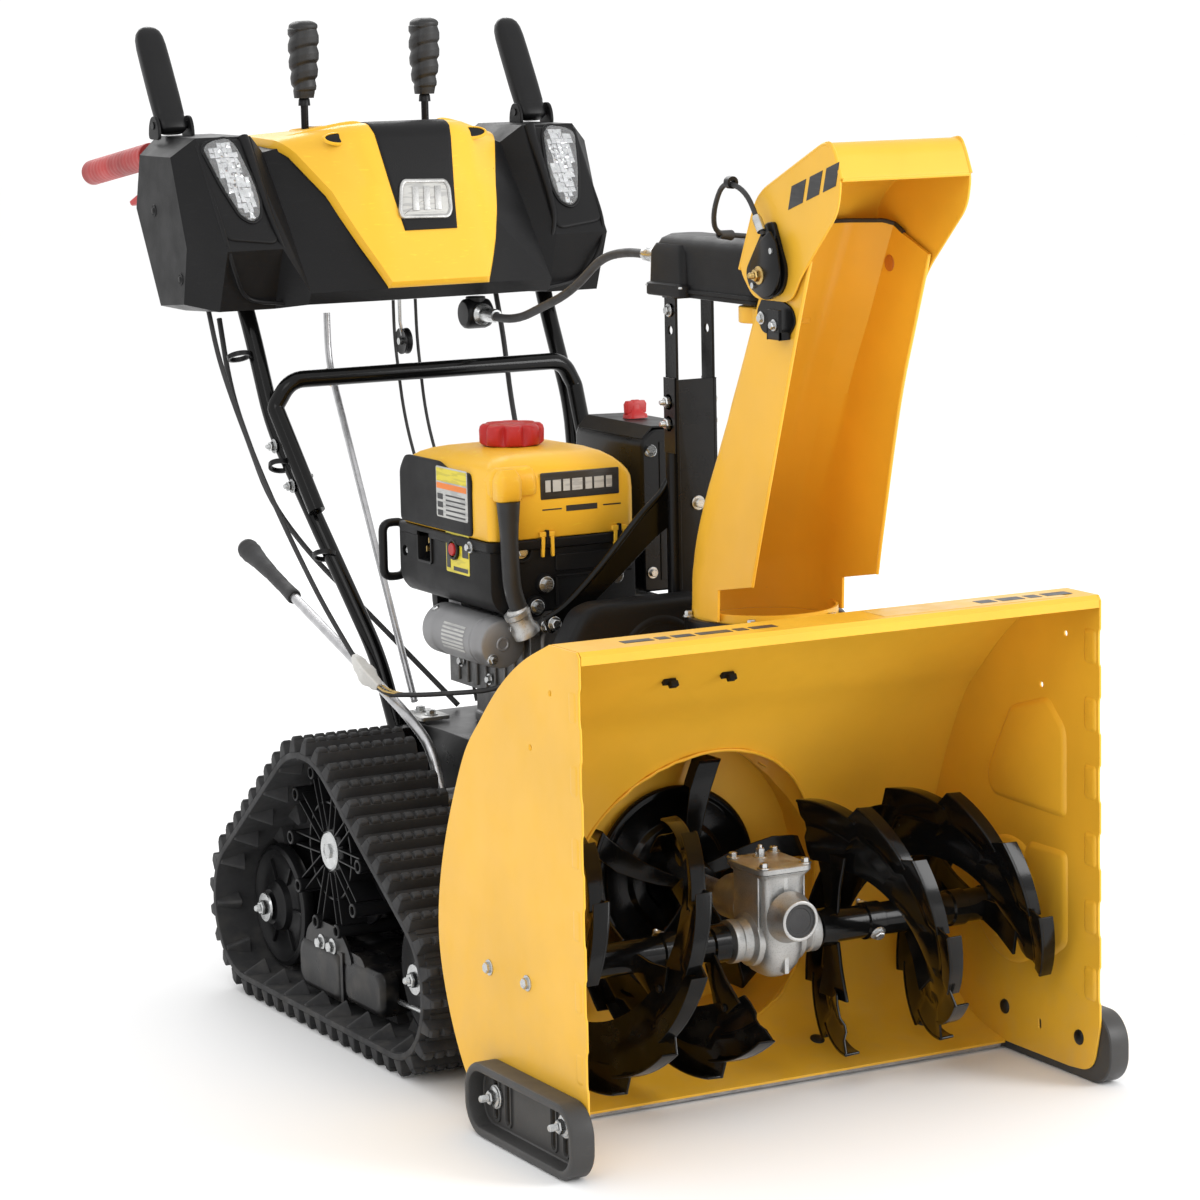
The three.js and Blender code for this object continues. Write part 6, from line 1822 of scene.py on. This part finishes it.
    for side_x in (-1, 1):
        path = [Vector((side_x * a, b, dash_top(a, b) + h)) for a, b, h in
                ((52, 1088, 6), (66, 1096, 9.5), (96, 1112, 10.5), (130, 1136, 9), (154, 1160, 6))]
        bows.append(tube(curve(path, 6), 4.6, 12))
    piece("panel_bows", join(*bows), YELLOW_PLASTIC, sharp=60)
    knob = [turned([(0, 0), (11, 0), (11, 6), (9, 9), (0, 9)], (-60, 1212, 1060), Z, 24),
            block(-78, -44, 1206, 1216, 1068, 1074)]
    piece("panel_latch", join(*knob), DARK_PLASTIC, bevel=1.2)

    # Control sticks with spiral-ribbed grips.
    for name, x in STICKS:
        body = f"{name}_lever"
        rod = join(tube([(x, 1186, 1006), (x, 1186, 1112), (x, 1185, 1128)], 5, 20),
                   turned([(0, x - 7), (9, x - 7), (9, x + 7), (0, x + 7)], (0, 1186, 1015), X, 28))
        piece(f"{name}_stick", rod, SATIN_BLACK, body, replaces=body, sharp=40)
        rings = []
        steps = 84
        for i in range(steps + 1):
            u = i / steps
            z = 1112 + 100 * u
            core = 12.2 + 5.6 * math.sin(min(1, u * 1.5) * math.pi / 2)
            if u > 0.93:
                core *= math.sqrt(max(0.04, 1 - ((u - 0.93) / 0.07) ** 2 * 0.8))
            body_part = 1 if 0.1 < u < 0.9 else 0.12
            ring = []
            for k in range(40):
                t = TAU * k / 40
                phase = (4.6 * u + 0.24 * math.sin(t)
                         + 0.32 * t / math.pi * (1 if t < math.pi else 2 * math.pi / max(t, 0.1) - 1)) % 1.0
                lobe = min(1, 5 * phase, 2.6 * (1 - phase))
                r = core + body_part * 2.6 * (lobe - 0.45)
                square = 1 / max(abs(math.cos(t)), abs(math.sin(t))) ** 0.35
                ring.append(Vector((x + r * square * math.cos(t), 1186 - 4 * u + r * square * math.sin(t), z)))
            rings.append(ring)
        piece(f"{name}_stick_grip", loft(rings), STICK_RUBBER, body, sharp=44)
    for label, x in STICKS:
        piece(f"{label}_stick_collar",
              turned([(0, 0), (8, 0), (7.4, 8), (5.4, 11), (0, 11)], (x, 1186, 1102), Z, 24),
              DARK_PLASTIC, f"{label}_lever")


def build_linkage():
    piece("gear_rod", tube(filleted([(-90, 1136, 834), (-92, 1130, 770), (-120, 840, 366)], 30, 8), 4.5, 16),
          ROD_STEEL, "shift_rod", replaces="shift_rod")
    nut = turned([(0, 0), (7, 0), (7, 20), (6, 22), (0, 22)], (-92, 1128.6, 760), (-0.05, -0.56, -0.83), 6)
    piece("gear_rod_adjuster", nut, GOLD_ZINC, "shift_rod", sharp=30)

    # Track lever: bent bright rod with a tapered black grip.
    rod = tube(filleted([(-180, 640, 280), (-183, 668, 345), (-193, 715, 379), (-193, 1060, 487)], 24, 8), 6.4,
               20)
    pivot = turned([(0, -189), (15, -189), (15, -141), (0, -141)], (0, 640, 280), X, 32)
    piece("lift_rod", join(rod, pivot), ROD_STEEL, "track_lever", replaces="track_lever", sharp=40)
    a, b = Vector((-193, 1036, 479.5)), Vector((-193, 1198, 530.2))
    steps = [(6.6, 0), (9, 0), (10, 3), (9.6, 12), (9.2, 40), (9.8, 80), (12, 120), (14.2, 140), (14.2, 152),
             (12.8, 158), (9, 161), (0, 161.6)]
    grooved = []
    for (r0, h0), (r1, h1) in zip(steps[3:8], steps[4:9]):
        grooved += [(r0, h0), (r0 + (r1 - r0) * 0.9 - 0.5, h0 + (h1 - h0) * 0.92)]
    piece("lift_grip", turned(steps[:3] + grooved + steps[8:], a, (b - a), 32), SOFT_BLACK, "track_lever",
          sharp=50)
    piece("lift_pivot_bolt", hex_bolt((-189, 640, 280), -X, 8, 6), ZINC, "track_lever", sharp=30)

    # Cables: two clutch cables, two drive cables, and the starter lead with its connector.
    left = [(-236, 1150, 834), (-240, 1110, 740), (-232, 1015, 610), (-190, 988, 540), (-140, 930, 470),
            (-60, 838, 355)]
    cable("clutch_cable_l", left, 3.5, SOFT_BLACK, replaces="clutch_cable_left", corner=50)
    right = [(150, 1120, 850), (150, 1100, 792), (140, 1060, 700), (120, 960, 560), (100, 880, 440),
             (80, 838, 356)]
    cable("clutch_cable_r", right, 3.5, SOFT_BLACK, corner=50)
    for label, route in (
            ("a", [(-20, 1080, 850), (-20, 1079, 800), (-22, 1052, 700), (-26, 962, 560), (-30, 880, 440),
                   (-34, 838, 358)]),
            ("b", [(12, 1080, 850), (12, 1078, 800), (8, 1050, 700), (2, 956, 560), (-4, 876, 440),
                   (-10, 838, 358)])):
        cable(f"drive_cable_{label}", route, 2.2, SOFT_BLACK, corner=40, sides=8)
    lead = [(-262, 1130, 862), (-262, 1080, 770), (-246, 1000, 640), (-229, 900, 520), (-218, 822, 448),
            (-214, 780, 420), (-208, 738, 402),
            (-190, 704, 402), (-158, 678, 404), (-120, 640, 410), (-102, 600, 424)]
    mid = frames(curve([(-217, 806, 438), (-214, 780, 420), (-210, 750, 406.5)], 4))
    sizes = [(4, 4), (7, 5.5), (9, 7), (9, 7), (11, 8.5), (11, 8.5), (8, 6.5), (7.4, 6), (4.4, 4)]
    shape = []
    for (p, side, up), (w, d) in zip(mid, sizes):
        shape.append([p + side * a + up * b for a, b in round_rect(0, 0, 2 * w, 2 * d, 2.4, 3)])
    plug = piece("lead_connector", loft(shape), NYLON, bevel=0.6, sharp=30)
    wires = join(*[tube(curve([(-209.5 + dx, 748, 405.5 + dz), (-205 + dx, 730, 401 + dz), (-190, 704, 402)],
                              6), 1.5, 8)
                   for dx, dz in ((-3, 2), (3, 3), (0, -3))])
    loom = piece("lead_wires", wires, GOLD_ZINC, slot="rubber")
    cable("starter_lead", lead, 3.2, SOFT_BLACK)
    wheel = turned([(5, -4), (14, -4), (17, -5), (17, -3), (15, 0), (17, 3), (17, 5), (14, 4), (5, 4)],
                   (-6, 1080, 796), X, 36, loop=True)
    piece("cable_pulley", wheel, DARK_PLASTIC)
    hanger = [tube([(-6, 1080, 796), (-12, 1078, 822), (-12, 1078, 866)], 2.4, 10),
              tube([(-14, 1080, 796), (2, 1080, 796)], 4.6, 16)]
    piece("pulley_hanger", join(*hanger), ZINC)
    ties = []
    for p, q in (((-219, 1008, 655), (0.25, 0.5, 0.83)), ((-190, 945, 545), (0.2, 0.45, 0.86)),
                 ((-238, 1085, 790), (0.0, 0.4, 0.9))):
        ties.append(turned([(12.5, -3), (15.5, -3), (15.5, 3), (12.5, 3)], p, q, 24, loop=True))
    piece("cable_ties", join(*ties), DARK_PLASTIC)


build_handle()
build_linkage()

# ---------------------------------------------------------------- nodes that stay as drawn
BY_SLOT = {"yellow_paint": YELLOW, "yellow_plastic": YELLOW_PLASTIC, "black_paint": SATIN_BLACK,
           "black_plastic": BLACK_PLASTIC, "rubber": RUBBER, "aluminium": ALLOY, "steel": ZINC,
           "red_plastic": RED_PLASTIC, "lens": LENS}
for row in frame["record"]["subparts"]:
    o = frame["nodes"][row["node"]]
    if not o.hide_render and not o.modifiers:
        keep(row["node"], BY_SLOT[row["material_slot"]])
